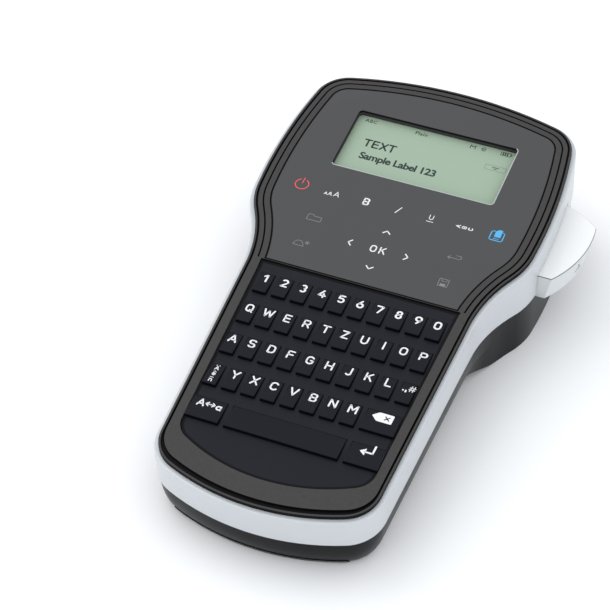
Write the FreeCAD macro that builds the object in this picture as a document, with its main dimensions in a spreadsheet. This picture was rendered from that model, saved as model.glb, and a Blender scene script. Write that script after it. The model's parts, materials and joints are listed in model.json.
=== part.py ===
"""Handheld label maker: every piece is built flat, with the key deck as z = 0, then laid on its rest plane.

Deck frame used while modelling (millimetres): x to the right, y from the grip to the head, z up out of
the keys, origin at the middle of the deck.  seat_on_table() turns each finished piece by the deck's tilt
and lifts it, so that the exported frame has z = 0 on the table.
"""
import FreeCAD, Part
import math
import os

doc = FreeCAD.newDocument("label_maker")
sheet = doc.addObject("Spreadsheet::Sheet", "sizes")

SIZES = [
    ("deck_tilt", 6.0, "slope of the deck when the maker lies on a table, degrees"),
    ("near_end", 100.3, "deck origin to the rounded grip end"),
    ("far_end", 99.3, "deck origin to the head end"),
    ("near_curve", 80.0, "radius of the grip end"),
    ("near_corner", 13.0, "corner radius of the grip end"),
    ("grip_curve", 3000.0, "radius of the nearly straight grip sides"),
    ("grip_widest_at", 63.0, "where the grip side would run parallel to y"),
    ("waist_curve", 55.0, "radius of the hollow between grip and head"),
    ("waist_at", -8.0, "y of the centre of the waist curve"),
    ("shoulder_curve", 29.0, "radius where the waist meets the head side"),
    ("head_flare", 10.56, "head beyond the grip on each side"),
    ("head_curve", 210.0, "radius of the bowed head sides"),
    ("head_widest_at", 47.0, "y of the widest place of the head"),
    ("far_corner", 13.0, "corner radius of the head end"),
    ("far_curve", 150.0, "radius of the head end"),
    ("lip_drop", 1.6, "deck down to the top of the side band"),
    ("band_bulge", 1.6, "side band outside the deck outline"),
    ("band_wall", 2.4, "thickness of the side band"),
    ("band_grip", 14.0, "lower border of the band along the grip, below the deck"),
    ("band_head", 20.5, "lower border of the band along the head, below the deck"),
    ("border_start", -30.0, "y where the band's lower border starts to drop"),
    ("border_end", 40.0, "y where the band's lower border is level again"),
    ("border_reach", 30.0, "length of the pull at each end of that drop"),
    ("border_ease", 1.0, "drop of each pull"),
    ("base_bulge", 1.0, "base case outside the deck outline"),
    ("base_wall", 2.2, "wall and floor thickness of the base case"),
    ("heel_depth", 27.5, "deck to the table at the heel of the grip"),
    ("heel_at", -90.0, "y where heel_depth is measured"),
    ("heel_length", 14.0, "length of the strip that touches the table at the grip end"),
    ("rest_at", 24.0, "y where the frame's origin lies on the underside"),
    ("step_start", -12.0, "y where the underside starts to drop towards the head"),
    ("step_end", 14.0, "y where the underside reaches the table plane"),
    ("bezel_thick", 2.6, "thickness of the top bezel plate"),
    ("skirt_wall", 1.6, "wall of the skirt that plugs the bezel into the band"),
    ("skirt_depth", 7.0, "deck to the end of the skirt"),
    ("thin_gap", 0.1, "gap between stacked pieces"),
    ("fit_gap", 0.2, "gap between pieces that are fitted into each other"),
    ("slide_gap", 0.15, "gap round a key or a cover"),
    ("groove_lip", 0.8, "width of the lip outside the outer groove"),
    ("groove_width", 0.7, "width of the outer groove"),
    ("groove_depth", 1.1, "depth of the decorative grooves"),
    ("groove_near", 2.7, "deck edge to the inner side of the outer groove at the grip end"),
    ("band_inner", 4.7, "deck edge to the key mat"),
    ("ring_outer", 3.2, "deck edge to the ring round the control panel"),
    ("ring_groove", 0.5, "width of the groove outside that ring"),
    ("ring_inner", 6.1, "deck edge to the control panel"),
    ("mat_near", 90.0, "deck origin to the rounded end of the key mat"),
    ("mat_curve", 63.0, "radius of the rounded end of the key mat"),
    ("mat_corner", 8.0, "corner radius of the key mat"),
    ("mat_far", 1.9, "deck origin back to the straight far edge of the key mat"),
    ("mat_top", 0.6, "deck down to the key mat's top"),
    ("mat_thick", 4.0, "thickness of the key mat"),
    ("panel_thick", 1.0, "thickness of the control panel film and its carrier"),
    ("panel_drop", 0.1, "deck down to the control panel's top"),
    ("panel_gap", 0.3, "gap round the control panel"),
    ("window_width", 61.4, "width of the display window"),
    ("window_low", 49.4, "y of the near edge of the display window"),
    ("window_high", 78.9, "y of the far edge of the display window"),
    ("window_corner", 1.4, "corner radius of the display window"),
    ("display_border", 4.0, "display module outside its window"),
    ("display_thick", 5.2, "thickness of the display module"),
    ("board_thick", 1.6, "thickness of the circuit board"),
    ("board_inset", 4.4, "deck edge to the circuit board"),
    ("key_pitch", 7.0, "distance between key columns"),
    ("key_margin", 2.24, "key block to the side of the key mat"),
    ("row_pitch", 14.4, "distance between key rows"),
    ("first_row", 12.2, "deck origin back to the middle of the first key row"),
    ("key_width", 5.0, "width of a key"),
    ("key_length", 9.3, "length of a key"),
    ("key_travel", 1.0, "travel of a key"),
    ("key_rise_near", 1.3, "height of a key's near edge above the mat"),
    ("key_rise_far", 0.3, "height of a key's far edge above the mat"),
    ("key_stem", 4.4, "depth of a key below the mat's top"),
    ("ceiling_top", 13.8, "deck to the top of the mechanism plate"),
    ("ceiling_thick", 1.4, "thickness of the mechanism plate"),
    ("gear_top", 11.0, "deck to the top of the gears"),
    ("gear_thick", 2.0, "thickness of the gears"),
    ("gear_gap", 0.1, "gap between two gears' pitch circles"),
    ("pinion_radius", 3.0, "pitch radius of the motor pinion"),
    ("idler_radius", 15.5, "pitch radius of the idler gear"),
    ("platen_gear_radius", 10.0, "pitch radius of the platen gear"),
    ("spindle_radius", 1.5, "radius of the gear spindles"),
    ("running_gap", 0.05, "radial gap of a turning fit"),
    ("motor_x", 18.0, "x of the motor"),
    ("motor_y", 20.0, "y of the motor"),
    ("motor_radius", 8.0, "radius of the motor can"),
    ("motor_length", 17.0, "length of the motor can"),
    ("motor_margin", 4.0, "mechanism plate beyond the motor can"),
    ("shaft_depth", 5.0, "pinion shaft inside the motor can"),
    ("platen_x", 23.0, "x of the platen roller"),
    ("platen_y", 55.0, "y of the platen roller"),
    ("platen_radius", 5.5, "radius of the platen roller"),
    ("shaft_end", 2.0, "platen shaft below the roller"),
    ("tape_width", 15.0, "height of the platen roller and print head"),
    ("tape_top", 21.8, "deck to the top of the platen roller"),
    ("head_gap", 0.4, "gap between platen and print head, where the tape runs"),
    ("head_thick", 2.5, "thickness of the print head and its heat sink"),
    ("head_length", 11.0, "length of the print head along y"),
    ("bay_left", 33.0, "left side of the cassette bay, left of the middle"),
    ("bay_right", 42.0, "right side of the cassette bay's mouth"),
    ("bay_near", 35.0, "near side of the cassette bay"),
    ("bay_far", 88.5, "far side of the cassette bay"),
    ("bay_wall", 1.6, "thickness of the bay walls"),
    ("cassette_gap", 2.0, "gap round the tape cassette"),
    ("cassette_drop", 0.6, "gap between the mechanism plate and the tape cassette"),
    ("cassette_width", 46.5, "width of the tape cassette"),
    ("cassette_depth", 20.0, "thickness of the tape cassette"),
    ("slot_width", 5.4, "width of the label exit slot"),
    ("slot_margin", 1.0, "label exit slot above and below the tape"),
    ("cover_thick", 2.0, "thickness of both covers"),
    ("cover_overlap", 1.5, "cassette cover outside the bay's mouth"),
    ("hinge_radius", 1.4, "radius of the cassette cover's hinge bead"),
    ("battery_width", 52.0, "width of the battery pack"),
    ("battery_length", 68.0, "length of the battery pack"),
    ("battery_thick", 11.5, "thickness of the battery pack"),
    ("battery_far", -6.0, "y of the far end of the battery pack"),
    ("battery_gap", 1.0, "gap round the battery pack"),
    ("battery_play", 0.5, "room above and below the battery pack together"),
    ("door_width", 62.0, "width of the battery cover"),
    ("door_far", -2.0, "y of the far end of the battery cover"),
    ("lever_x", 43.0, "x of the cutter lever's pivot"),
    ("lever_y", 35.5, "y of the cutter lever's pivot"),
    ("lever_radius", 34.5, "pivot to the far edge of the lever's finger pad"),
    ("lever_hub", 4.2, "radius of the lever's hub"),
    ("lever_clear", 2.0, "room round the lever's hub"),
    ("lever_pin", 2.4, "radius of the lever's pivot post"),
    ("lever_top", 11.2, "deck to the top of the finger pad"),
    ("lever_bottom", 22.0, "deck to the bottom of the finger pad"),
    ("lever_inner", 51.5, "x of the finger pad's inner face"),
    ("lever_tip_x", 66.2, "x of the finger pad's far corner"),
    ("lever_corner_x", 58.6, "x of the finger pad's near corner"),
    ("lever_near", 32.4, "y of the finger pad's near face"),
    ("lever_bow", 3.0, "bulge of the finger pad's outer edge"),
    ("lever_undercut", 2.2, "finger pad's lower edge inside its upper edge"),
    ("pad_overlap", 1.0, "lever's web inside the finger pad"),
    ("web_length", 20.0, "lever's web along the finger pad"),
    ("arm_top", 16.2, "deck to the top of the lever's arm"),
    ("arm_thick", 5.6, "thickness of the lever's arm"),
    ("arm_width", 3.0, "width of the lever's arm"),
    ("arm_end", 2.0, "lever's arm beyond the blade"),
    ("blade_y", 80.0, "y of the cutter blade"),
    ("blade_thick", 0.8, "thickness of the cutter blade"),
    ("blade_reach", 5.0, "cutter blade beyond the arm"),
]

for number, (alias, value, meaning) in enumerate(SIZES, start=1):
    sheet.set("A%d" % number, meaning)
    sheet.set("B%d" % number, str(value))
    sheet.setAlias("B%d" % number, alias)
doc.recompute()


def size(alias):
    """The value of one named size."""
    return float(sheet.get(alias))


def bound(obj, **expressions):
    """Bind properties to the sheet; a double underscore in a name stands for a dot."""
    for name, text in expressions.items():
        obj.setExpression(name.replace("__", "."), resolved(text))
    return obj


def resolved(text):
    """Write sizes.NAME for each NAME of the sheet in an expression."""
    words = str(text).replace("(", " ( ").replace(")", " ) ").split()
    known = {alias for alias, value, meaning in SIZES}
    return " ".join("sizes." + word if word in known else word for word in words)


# ---------------------------------------------------------------- building blocks

def flat_outline(name, edges, level):
    """A sketch of a closed outline at z = level."""
    sketch = doc.addObject("Sketcher::SketchObject", name + "_sketch")
    sketch.addGeometry(edges, False)
    return bound(sketch, Placement__Base__z=level)


def slab(name, edges, low, high):
    """A flat outline pulled up from z = low to z = high."""
    solid = doc.addObject("Part::Extrusion", name)
    solid.Base = flat_outline(name, edges, low)
    solid.DirMode = "Custom"
    solid.Dir = FreeCAD.Vector(0, 0, 1)
    solid.Solid = True
    return bound(solid, LengthFwd="( %s ) - ( %s )" % (high, low))


def side_prism(name, edges, half_width):
    """A side view outline, drawn in y and z, pulled to both sides along x."""
    sketch = doc.addObject("Sketcher::SketchObject", name + "_sketch")
    sketch.addGeometry(edges, False)
    turn = FreeCAD.Rotation(FreeCAD.Vector(0, 1, 0), FreeCAD.Vector(0, 0, 1), FreeCAD.Vector(1, 0, 0))
    sketch.Placement = FreeCAD.Placement(FreeCAD.Vector(0, 0, 0), turn)
    solid = doc.addObject("Part::Extrusion", name)
    solid.Base = sketch
    solid.DirMode = "Custom"
    solid.Dir = FreeCAD.Vector(1, 0, 0)
    solid.Solid = True
    solid.Symmetric = True
    return bound(solid, LengthFwd="2 * ( %s )" % half_width)


def block(name, x_low, x_high, y_low, y_high, z_low, z_high):
    """A box between six planes."""
    solid = doc.addObject("Part::Box", name)
    bound(solid, Length="( %s ) - ( %s )" % (x_high, x_low))
    bound(solid, Width="( %s ) - ( %s )" % (y_high, y_low))
    bound(solid, Height="( %s ) - ( %s )" % (z_high, z_low))
    return bound(solid, Placement__Base__x=x_low, Placement__Base__y=y_low, Placement__Base__z=z_low)


def rod(name, x, y, low, high, radius):
    """An upright cylinder."""
    solid = doc.addObject("Part::Cylinder", name)
    bound(solid, Radius=radius, Height="( %s ) - ( %s )" % (high, low))
    return bound(solid, Placement__Base__x=x, Placement__Base__y=y, Placement__Base__z=low)


def joined(name, *parts):
    solid = doc.addObject("Part::MultiFuse", name)
    solid.Shapes = list(parts)
    solid.Refine = True
    return solid


def shared(name, *parts):
    solid = doc.addObject("Part::MultiCommon", name)
    solid.Shapes = list(parts)
    return solid


def cut(name, base, *tools):
    tool = tools[0] if len(tools) == 1 else joined(name + "_tools", *tools)
    solid = doc.addObject("Part::Cut", name)
    solid.Base = base
    solid.Tool = tool
    return solid


# ---------------------------------------------------------------- outlines seen from above

def circle_meeting(first, first_radius, second, second_radius, far_side):
    """The point at the given distances from two centres that lies furthest to the asked side."""
    gap = second - first
    distance = gap.Length
    along = (distance ** 2 + first_radius ** 2 - second_radius ** 2) / (2 * distance)
    across = math.sqrt(first_radius ** 2 - along ** 2)
    unit = gap / distance
    normal = FreeCAD.Vector(-unit.y, unit.x, 0)
    points = [first + unit * along + normal * across, first + unit * along - normal * across]
    return max(points, key=far_side)


COLUMNS = 10


def grip_half_width():
    """Half the widest grip width: half the key block, the margin beside it and the bezel."""
    return COLUMNS / 2 * size("key_pitch") + size("key_margin") + size("band_inner")


def deck_edges(grow, near_end=None, near_curve=None, near_corner=None):
    """The hourglass outline of the deck, moved outwards by grow, as a closed chain of tangent arcs."""
    near_end = size("near_end") + grow if near_end is None else near_end
    near_radius = size("near_curve") + grow if near_curve is None else near_curve
    corner = size("near_corner") + grow if near_corner is None else near_corner
    grip_radius = size("grip_curve") + grow
    head_radius = size("head_curve") + grow
    shoulder = size("shoulder_curve") + grow
    waist = size("waist_curve") - grow
    far_corner = size("far_corner") + grow
    far_radius = size("far_curve") + grow
    middle_line = FreeCAD.Vector(0, 0, 0)

    near = FreeCAD.Vector(0, near_radius - near_end, 0)
    far = FreeCAD.Vector(0, size("far_end") + grow - far_radius, 0)
    grip = FreeCAD.Vector(grip_half_width() + grow - grip_radius, size("grip_widest_at"), 0)
    head = FreeCAD.Vector(grip_half_width() + size("head_flare") + grow - head_radius,
                          size("head_widest_at"), 0)
    near_round = circle_meeting(near, near_radius - corner, grip, grip_radius - corner, lambda p: -p.y)
    far_round = circle_meeting(far, far_radius - far_corner, head, head_radius - far_corner, lambda p: p.y)
    reach = grip_radius + waist
    rise = size("waist_at") - grip.y
    hollow = FreeCAD.Vector(grip.x + math.sqrt(reach ** 2 - rise ** 2), size("waist_at"), 0)
    shoulder_round = circle_meeting(head, head_radius - shoulder, hollow, waist + shoulder, lambda p: p.y)

    def towards(start, end):
        step = end - start
        return step / step.Length

    down = FreeCAD.Vector(0, -1, 0)
    up = FreeCAD.Vector(0, 1, 0)
    chain = [
        (near, near_radius, down, towards(near, near_round)),
        (near_round, corner, towards(near, near_round), towards(grip, near_round)),
        (grip, grip_radius, towards(grip, near_round), towards(grip, hollow)),
        (hollow, waist, towards(hollow, grip), towards(hollow, shoulder_round)),
        (shoulder_round, shoulder, towards(shoulder_round, hollow), towards(head, shoulder_round)),
        (head, head_radius, towards(head, shoulder_round), towards(head, far_round)),
        (far_round, far_corner, towards(head, far_round), towards(far, far_round)),
        (far, far_radius, towards(far, far_round), up),
    ]
    right = [(centre + first * radius, centre + towards(middle_line, first + last) * radius,
              centre + last * radius) for centre, radius, first, last in chain]
    left = [tuple(FreeCAD.Vector(-point.x, point.y, 0) for point in reversed(arc))
            for arc in reversed(right)]
    return [Part.Arc(*arc) for arc in right + left]


def polygon(points):
    """Straight edges round a list of (x, y) points."""
    corners = [FreeCAD.Vector(x, y, 0) for x, y in points]
    return [Part.LineSegment(a, b) for a, b in zip(corners, corners[1:] + corners[:1])]


def rounded_rectangle(x_low, x_high, y_low, y_high, radius):
    """A rectangle with round corners."""
    edges = []
    centres = [(x_high - radius, y_low + radius, -90), (x_high - radius, y_high - radius, 0),
               (x_low + radius, y_high - radius, 90), (x_low + radius, y_low + radius, 180)]
    arcs = []
    for x, y, start in centres:
        angles = [math.radians(start + turn) for turn in (0, 45, 90)]
        arcs.append([FreeCAD.Vector(x + radius * math.cos(angle), y + radius * math.sin(angle), 0)
                     for angle in angles])
    for this, following in zip(arcs, arcs[1:] + arcs[:1]):
        edges.append(Part.Arc(*this))
        edges.append(Part.LineSegment(this[2], following[0]))
    return edges


# ---------------------------------------------------------------- outlines seen from the side

BEYOND = 200.0
EVERYWHERE = str(BEYOND)


def table_level(y):
    """The table plane, in the tilted deck frame."""
    return -size("heel_depth") - (y - size("heel_at")) * math.tan(math.radians(size("deck_tilt")))


def band_border():
    """Lower border of the side band: level, then a soft curve down to the head."""
    grip = -size("band_grip")
    head = -size("band_head")
    curve = Part.BezierCurve()
    start = FreeCAD.Vector(size("border_start"), grip, 0)
    end = FreeCAD.Vector(size("border_end"), head, 0)
    pull = FreeCAD.Vector(size("border_reach"), -size("border_ease"), 0)
    curve.setPoles([start, start + pull, end - pull, end])
    return [Part.LineSegment(FreeCAD.Vector(-BEYOND, grip, 0), start),
            curve.toBSpline(),
            Part.LineSegment(end, FreeCAD.Vector(BEYOND, head, 0))]


def underside(raise_by):
    """The underside: heel on the table, raised grip, soft step, head on the table."""
    heel_end = size("heel_at") + size("heel_length") / 2
    step_start = size("step_start")
    step_end = size("step_end")
    grip_level = table_level(heel_end) + raise_by
    points = [FreeCAD.Vector(-BEYOND, table_level(-BEYOND) + raise_by, 0),
              FreeCAD.Vector(heel_end, grip_level, 0),
              FreeCAD.Vector(step_start, grip_level, 0),
              FreeCAD.Vector(step_end, table_level(step_end) + raise_by, 0),
              FreeCAD.Vector(BEYOND, table_level(BEYOND) + raise_by, 0)]
    third = (step_end - step_start) / 3
    curve = Part.BezierCurve()
    curve.setPoles([points[2], points[2] + FreeCAD.Vector(third, 0, 0),
                    points[3] - FreeCAD.Vector(third, -third * math.tan(math.radians(size("deck_tilt"))), 0),
                    points[3]])
    return [Part.LineSegment(points[0], points[1]), Part.LineSegment(points[1], points[2]),
            curve.toBSpline(), Part.LineSegment(points[3], points[4])]


def between(lower, upper_level):
    """Close an open border with straight edges up to a level."""
    start = lower[0].StartPoint
    end = lower[-1].EndPoint
    high_end = FreeCAD.Vector(end.x, upper_level, 0)
    high_start = FreeCAD.Vector(start.x, upper_level, 0)
    return lower + [Part.LineSegment(end, high_end), Part.LineSegment(high_end, high_start),
                    Part.LineSegment(high_start, start)]


nodes = {}


def node(name, solid):
    """Register a finished piece; a box is wrapped first, because its Placement is its place."""
    if solid.TypeId == "Part::Box":
        solid.Label = name + "_blank"
        wrapped = doc.addObject("Part::Refine", name)
        wrapped.Source = solid
        solid = wrapped
    solid.Label = name
    nodes[name] = solid
    return solid


SPAN = EVERYWHERE
LOWEST = "0 - " + EVERYWHERE

# ---------------------------------------------------------------- side band and base case

above_band_border = side_prism("above_band_border", between(band_border(), -size("lip_drop")), SPAN)
above_band_border_tall = side_prism("above_band_border_tall", between(band_border(), BEYOND), SPAN)
above_underside = side_prism("above_underside", between(underside(0.0), BEYOND), SPAN)
above_floor = side_prism("above_floor", between(underside(size("base_wall")), BEYOND), SPAN)
above_cover = side_prism("above_cover", between(underside(size("cover_thick")), BEYOND), SPAN)

lever_window = block("lever_window", "lever_x + lever_hub", "lever_tip_x + lever_hub",
                     "lever_near - 2 * fit_gap", "lever_y + lever_radius + fit_gap",
                     "0 - lever_bottom - fit_gap", "fit_gap - lever_top")

band_outer = slab("band_outer", deck_edges(size("band_bulge")), LOWEST, "0")
band_inner_edge = size("band_bulge") - size("band_wall")
band_hollow = slab("band_hollow", deck_edges(band_inner_edge), LOWEST, "0")
band_ring = cut("band_ring", band_outer, band_hollow)
band_height = shared("band_height", band_ring, above_band_border)
node("side_band", cut("side_band", band_height, lever_window))

base_outer = slab("base_outer", deck_edges(size("base_bulge")), LOWEST, "0")
base_lower = shared("base_lower", base_outer, above_underside)
base_block = cut("base_block", base_lower, above_band_border_tall)
base_hollow_plan = slab("base_hollow_plan", deck_edges(size("base_bulge") - size("base_wall")), LOWEST, "0")
base_hollow = shared("base_hollow", base_hollow_plan, above_floor)
base_shell = cut("base_shell", base_block, base_hollow)

# The mechanism plate carries the gears and closes the cassette bay from above.
inside_edge = size("base_bulge") - size("base_wall") + size("thin_gap")
inside_plan = slab("inside_plan", deck_edges(inside_edge), LOWEST, "0")
plate_near = "motor_y - motor_radius - motor_margin"
plate_block = block("plate_block", "0 - bay_left - bay_wall", "bay_right", plate_near,
                    "bay_far + bay_wall", "0 - ceiling_top - ceiling_thick", "0 - ceiling_top")
lever_tab = rod("lever_tab", "lever_x", "lever_y", "0 - ceiling_top - ceiling_thick", "0 - ceiling_top",
                "lever_hub + lever_clear")
lever_post = rod("lever_post", "lever_x", "lever_y", "0 - arm_top - arm_thick - lever_clear",
                 "0 - ceiling_top", "lever_pin")
bay_left_wall = block("bay_left_wall", "0 - bay_left - bay_wall", "0 - bay_left", "bay_near - bay_wall",
                      "bay_far + bay_wall", LOWEST, "0 - ceiling_top")
bay_near_wall = block("bay_near_wall", "0 - bay_left - bay_wall", "lever_x - lever_hub - lever_clear",
                      "bay_near - bay_wall", "bay_near", LOWEST, "0 - ceiling_top")
bay_far_wall = block("bay_far_wall", "0 - bay_left - bay_wall", "bay_right + bay_wall", "bay_far",
                     "bay_far + bay_wall", LOWEST, "0 - ceiling_top")
plate_foot = block("plate_foot", "0 - bay_left - bay_wall", "bay_right", plate_near,
                   plate_near + " + bay_wall", LOWEST, "0 - ceiling_top")
battery_low = "battery_far - battery_length - battery_gap"
battery_ceiling = "0 - heel_depth + cover_thick + battery_thick + battery_play"
battery_tray = block("battery_tray", "0 - battery_width / 2 - battery_gap - bay_wall",
                     "battery_width / 2 + battery_gap + bay_wall", battery_low + " - bay_wall",
                     "battery_far + battery_gap + bay_wall", LOWEST, battery_ceiling + " + bay_wall")
idler_at = circle_meeting(
    FreeCAD.Vector(size("platen_x"), size("platen_y"), 0),
    size("platen_gear_radius") + size("idler_radius"),
    FreeCAD.Vector(size("motor_x"), size("motor_y"), 0),
    size("pinion_radius") + size("idler_radius"),
    lambda p: -p.x)
idler_x = str(idler_at.x)
idler_y = str(idler_at.y)
idler_post = rod("idler_post", idler_x, idler_y, "0 - ceiling_top - ceiling_thick / 2", "0 - gear_top",
                 "spindle_radius")
inner_parts = joined("inner_parts", plate_block, lever_tab, lever_post, bay_left_wall, bay_near_wall,
                     bay_far_wall, plate_foot, battery_tray, idler_post)
inner_fitted = shared("inner_fitted", inner_parts, inside_plan)
inner_trimmed = shared("inner_trimmed", inner_fitted, above_underside)
base_solid = joined("base_solid", base_shell, inner_trimmed)

battery_bay = block("battery_bay", "0 - battery_width / 2 - battery_gap", "battery_width / 2 + battery_gap",
                    battery_low, "battery_far + battery_gap", LOWEST, battery_ceiling)
cassette_mouth = block("cassette_mouth", "0 - bay_left", "bay_right", "bay_near", "bay_far", LOWEST,
                       "0 - ceiling_top - ceiling_thick")
exit_x = "platen_x + platen_radius + head_gap / 2"
exit_slot = block("exit_slot", exit_x + " - slot_width / 2", exit_x + " + slot_width / 2",
                  "bay_far - bay_wall", EVERYWHERE, "0 - tape_top - tape_width - slot_margin",
                  "slot_margin - tape_top")
platen_bore = rod("platen_bore", "platen_x", "platen_y", "0 - ceiling_top - 2 * ceiling_thick",
                  "ceiling_thick - ceiling_top", "spindle_radius + running_gap")
motor_bore = rod("motor_bore", "motor_x", "motor_y", "0 - ceiling_top - 2 * ceiling_thick",
                 "ceiling_thick - ceiling_top", "pinion_radius")
below_cover = doc.addObject("Part::Cut", "below_cover")
below_cover.Base = block("cover_zone", LOWEST, EVERYWHERE, LOWEST, EVERYWHERE, LOWEST, "0")
below_cover.Tool = side_prism("above_cover_gap",
                              between(underside(size("cover_thick") + size("slide_gap")), BEYOND), SPAN)
door_pocket_plan = block("door_pocket_plan", "0 - door_width / 2 - slide_gap", "door_width / 2 + slide_gap",
                         LOWEST, "door_far + slide_gap", LOWEST, "0")
door_pocket = shared("door_pocket", below_cover, door_pocket_plan)
lid_left = "0 - bay_left - cover_overlap"
lid_right = "bay_right + cover_overlap"
lid_near = "bay_near - cover_overlap"
lid_far = "bay_far + cover_overlap"
lid_pocket_plan = block("lid_pocket_plan", lid_left + " - slide_gap", lid_right + " + slide_gap",
                        lid_near + " - slide_gap", lid_far, LOWEST, "0")
lid_pocket = shared("lid_pocket", below_cover, lid_pocket_plan)


def hinge_rod(name, radius, x_low, x_high):
    """A rod along x on the cassette cover's hinge line."""
    solid = doc.addObject("Part::Cylinder", name)
    solid.Placement = FreeCAD.Placement(FreeCAD.Vector(0, 0, 0),
                                        FreeCAD.Rotation(FreeCAD.Vector(0, 1, 0), 90))
    bound(solid, Radius=radius, Height="( %s ) - ( %s )" % (x_high, x_low))
    hinge_y = size("bay_far") + size("cover_overlap")
    hinge_z = table_level(hinge_y) + size("hinge_radius") + size("thin_gap")
    return bound(solid, Placement__Base__x=x_low, Placement__Base__y=str(hinge_y),
                 Placement__Base__z=str(hinge_z))


hinge_groove = hinge_rod("hinge_groove", "hinge_radius + 2 * slide_gap", lid_left + " - slide_gap",
                         lid_right + " + slide_gap")
hinge_mouth = block("hinge_mouth", lid_left + " - slide_gap", lid_right + " + slide_gap",
                    lid_far + " - hinge_radius - 2 * slide_gap", lid_far + " + hinge_radius + 2 * slide_gap",
                    LOWEST, str(table_level(size("bay_far")) + size("hinge_radius")))
node("base_case", cut("base_case", base_solid, battery_bay, cassette_mouth, exit_slot, platen_bore,
                      motor_bore, door_pocket, lid_pocket, hinge_groove, hinge_mouth, lever_window))

# ---------------------------------------------------------------- covers

cover_skin = cut("cover_skin", shared("cover_skin_block", slab("cover_plan", deck_edges(size("base_bulge")),
                                                               LOWEST, "0"), above_underside), above_cover)
door_plan = block("door_plan", "0 - door_width / 2", "door_width / 2", LOWEST, "door_far",
                  LOWEST, "0")
node("battery_cover", shared("battery_cover", cover_skin, door_plan))

lid_plan = block("lid_plan", lid_left, lid_right, lid_near, lid_far, LOWEST, "0")
lid_plate = shared("lid_plate", cover_skin, lid_plan)
lid_bead = hinge_rod("lid_bead", "hinge_radius", lid_left, lid_right)
node("cassette_cover", joined("cassette_cover", lid_plate, lid_bead))

# ---------------------------------------------------------------- top bezel, control panel, key mat

def mat_slab(name, shrink, low, high):
    """The key mat's outline, rounded at the grip end and straight at its far edge."""
    edges = deck_edges(-size("band_inner") - shrink, size("mat_near") - shrink, size("mat_curve") - shrink,
                       size("mat_corner") - shrink)
    whole = slab(name + "_plan", edges, low, high)
    behind = block(name + "_behind", LOWEST, EVERYWHERE, LOWEST,
                   "0 - mat_far - %s" % shrink, low, high)
    return shared(name, whole, behind)


def head_slab(name, inset, edge_gap, low, high):
    """The control panel's outline: the head's deck beyond the key mat."""
    whole = slab(name + "_plan", deck_edges(-inset), low, high)
    beyond = block(name + "_beyond", LOWEST, EVERYWHERE, "0 - mat_far + %s" % edge_gap, EVERYWHERE,
                   low, high)
    return shared(name, whole, beyond)


def window_slab(name, grow, low, high):
    """The display window's outline."""
    half = size("window_width") / 2 + grow
    edges = rounded_rectangle(-half, half, size("window_low") - grow, size("window_high") + grow,
                              size("window_corner") + grow)
    return slab(name, edges, low, high)


bezel_plate = slab("bezel_plate", deck_edges(0.0), "0 - bezel_thick", "0")
bezel_lower = slab("bezel_lower", deck_edges(band_inner_edge - size("fit_gap")), "0 - skirt_depth",
                   "0 - lip_drop")
rim_outer = slab("rim_outer", deck_edges(size("skirt_depth")), "0 - bezel_thick - 1", "0 - lip_drop")
rim_inner = slab("rim_inner", deck_edges(band_inner_edge - size("fit_gap")), "0 - bezel_thick - 1",
                 "0 - lip_drop")
bezel_rim_cut = cut("bezel_rim_cut", rim_outer, rim_inner)
skirt_hollow = slab("skirt_hollow", deck_edges(band_inner_edge - size("fit_gap") - size("skirt_wall")),
                    "0 - skirt_depth - 1", "0 - bezel_thick")
bezel_body = cut("bezel_body", joined("bezel_blank", bezel_plate, bezel_lower), bezel_rim_cut, skirt_hollow)
panel_recess = head_slab("panel_recess", size("ring_inner") - size("panel_gap"), "panel_gap",
                         "0 - panel_drop - panel_thick", "1")
window_hole = window_slab("window_hole", 0.0, "0 - bezel_thick - 1", "1")
mat_hole = mat_slab("mat_hole", 0.0, "0 - bezel_thick - 1", "1")
groove_outer = cut("groove_outer",
                   slab("groove_outside", deck_edges(-size("groove_lip")), "0 - groove_depth", "1"),
                   slab("groove_inside", deck_edges(-size("groove_lip") - size("groove_width"),
                                                    size("near_end") - size("groove_near")),
                        "0 - groove_depth", "1"))
groove_head = cut("groove_head", head_slab("groove_head_outside", size("ring_outer"), "panel_gap",
                                           "0 - groove_depth", "1"),
                  head_slab("groove_head_inside", size("ring_outer") + size("ring_groove"), "0",
                            "0 - groove_depth - 1", "2"))
node("top_bezel", cut("top_bezel", bezel_body, panel_recess, window_hole, mat_hole, groove_outer,
                      groove_head))

panel_blank = head_slab("panel_blank", size("ring_inner"), "2 * panel_gap", "0 - panel_drop - panel_thick",
                        "0 - panel_drop")
panel_window = window_slab("panel_window", 0.0, "0 - panel_drop - panel_thick - 1", "1")
node("control_panel", cut("control_panel", panel_blank, panel_window))

display_top = "0 - bezel_thick - thin_gap"
node("display_module", window_slab("display_module", size("display_border"),
                                   display_top + " - display_thick", display_top))


# ---------------------------------------------------------------- keys

ROWS = [
    ["one", "two", "three", "four", "five", "six", "seven", "eight", "nine", "zero"],
    ["q", "w", "e", "r", "t", "z", "u", "i", "o", "p"],
    ["a", "s", "d", "f", "g", "h", "j", "k", "l", "symbols"],
    ["accents", "y", "x", "c", "v", "b", "n", "m", "backspace"],
    ["case_shift", "space", "enter"],
]
WIDE = {"backspace": (8, 9), "case_shift": (0, 1), "space": (2, 7), "enter": (8, 9)}
def key_places():
    """Each key's name with its first column, last column and row."""
    places = []
    for row, names in enumerate(ROWS):
        for column, name in enumerate(names):
            first, last = WIDE.get(name, (column, column))
            places.append(("key_" + name, first, last, row))
    return places


def key_limits(first, last, row):
    """Expressions for a key's left, right, near and far side."""
    left = "( %s ) * key_pitch - key_width / 2" % (first - (COLUMNS - 1) / 2)
    right = "( %s ) * key_pitch + key_width / 2" % (last - (COLUMNS - 1) / 2)
    near = "0 - first_row - %d * row_pitch - key_length / 2" % row
    far = "0 - first_row - %d * row_pitch + key_length / 2" % row
    return left, right, near, far


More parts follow.
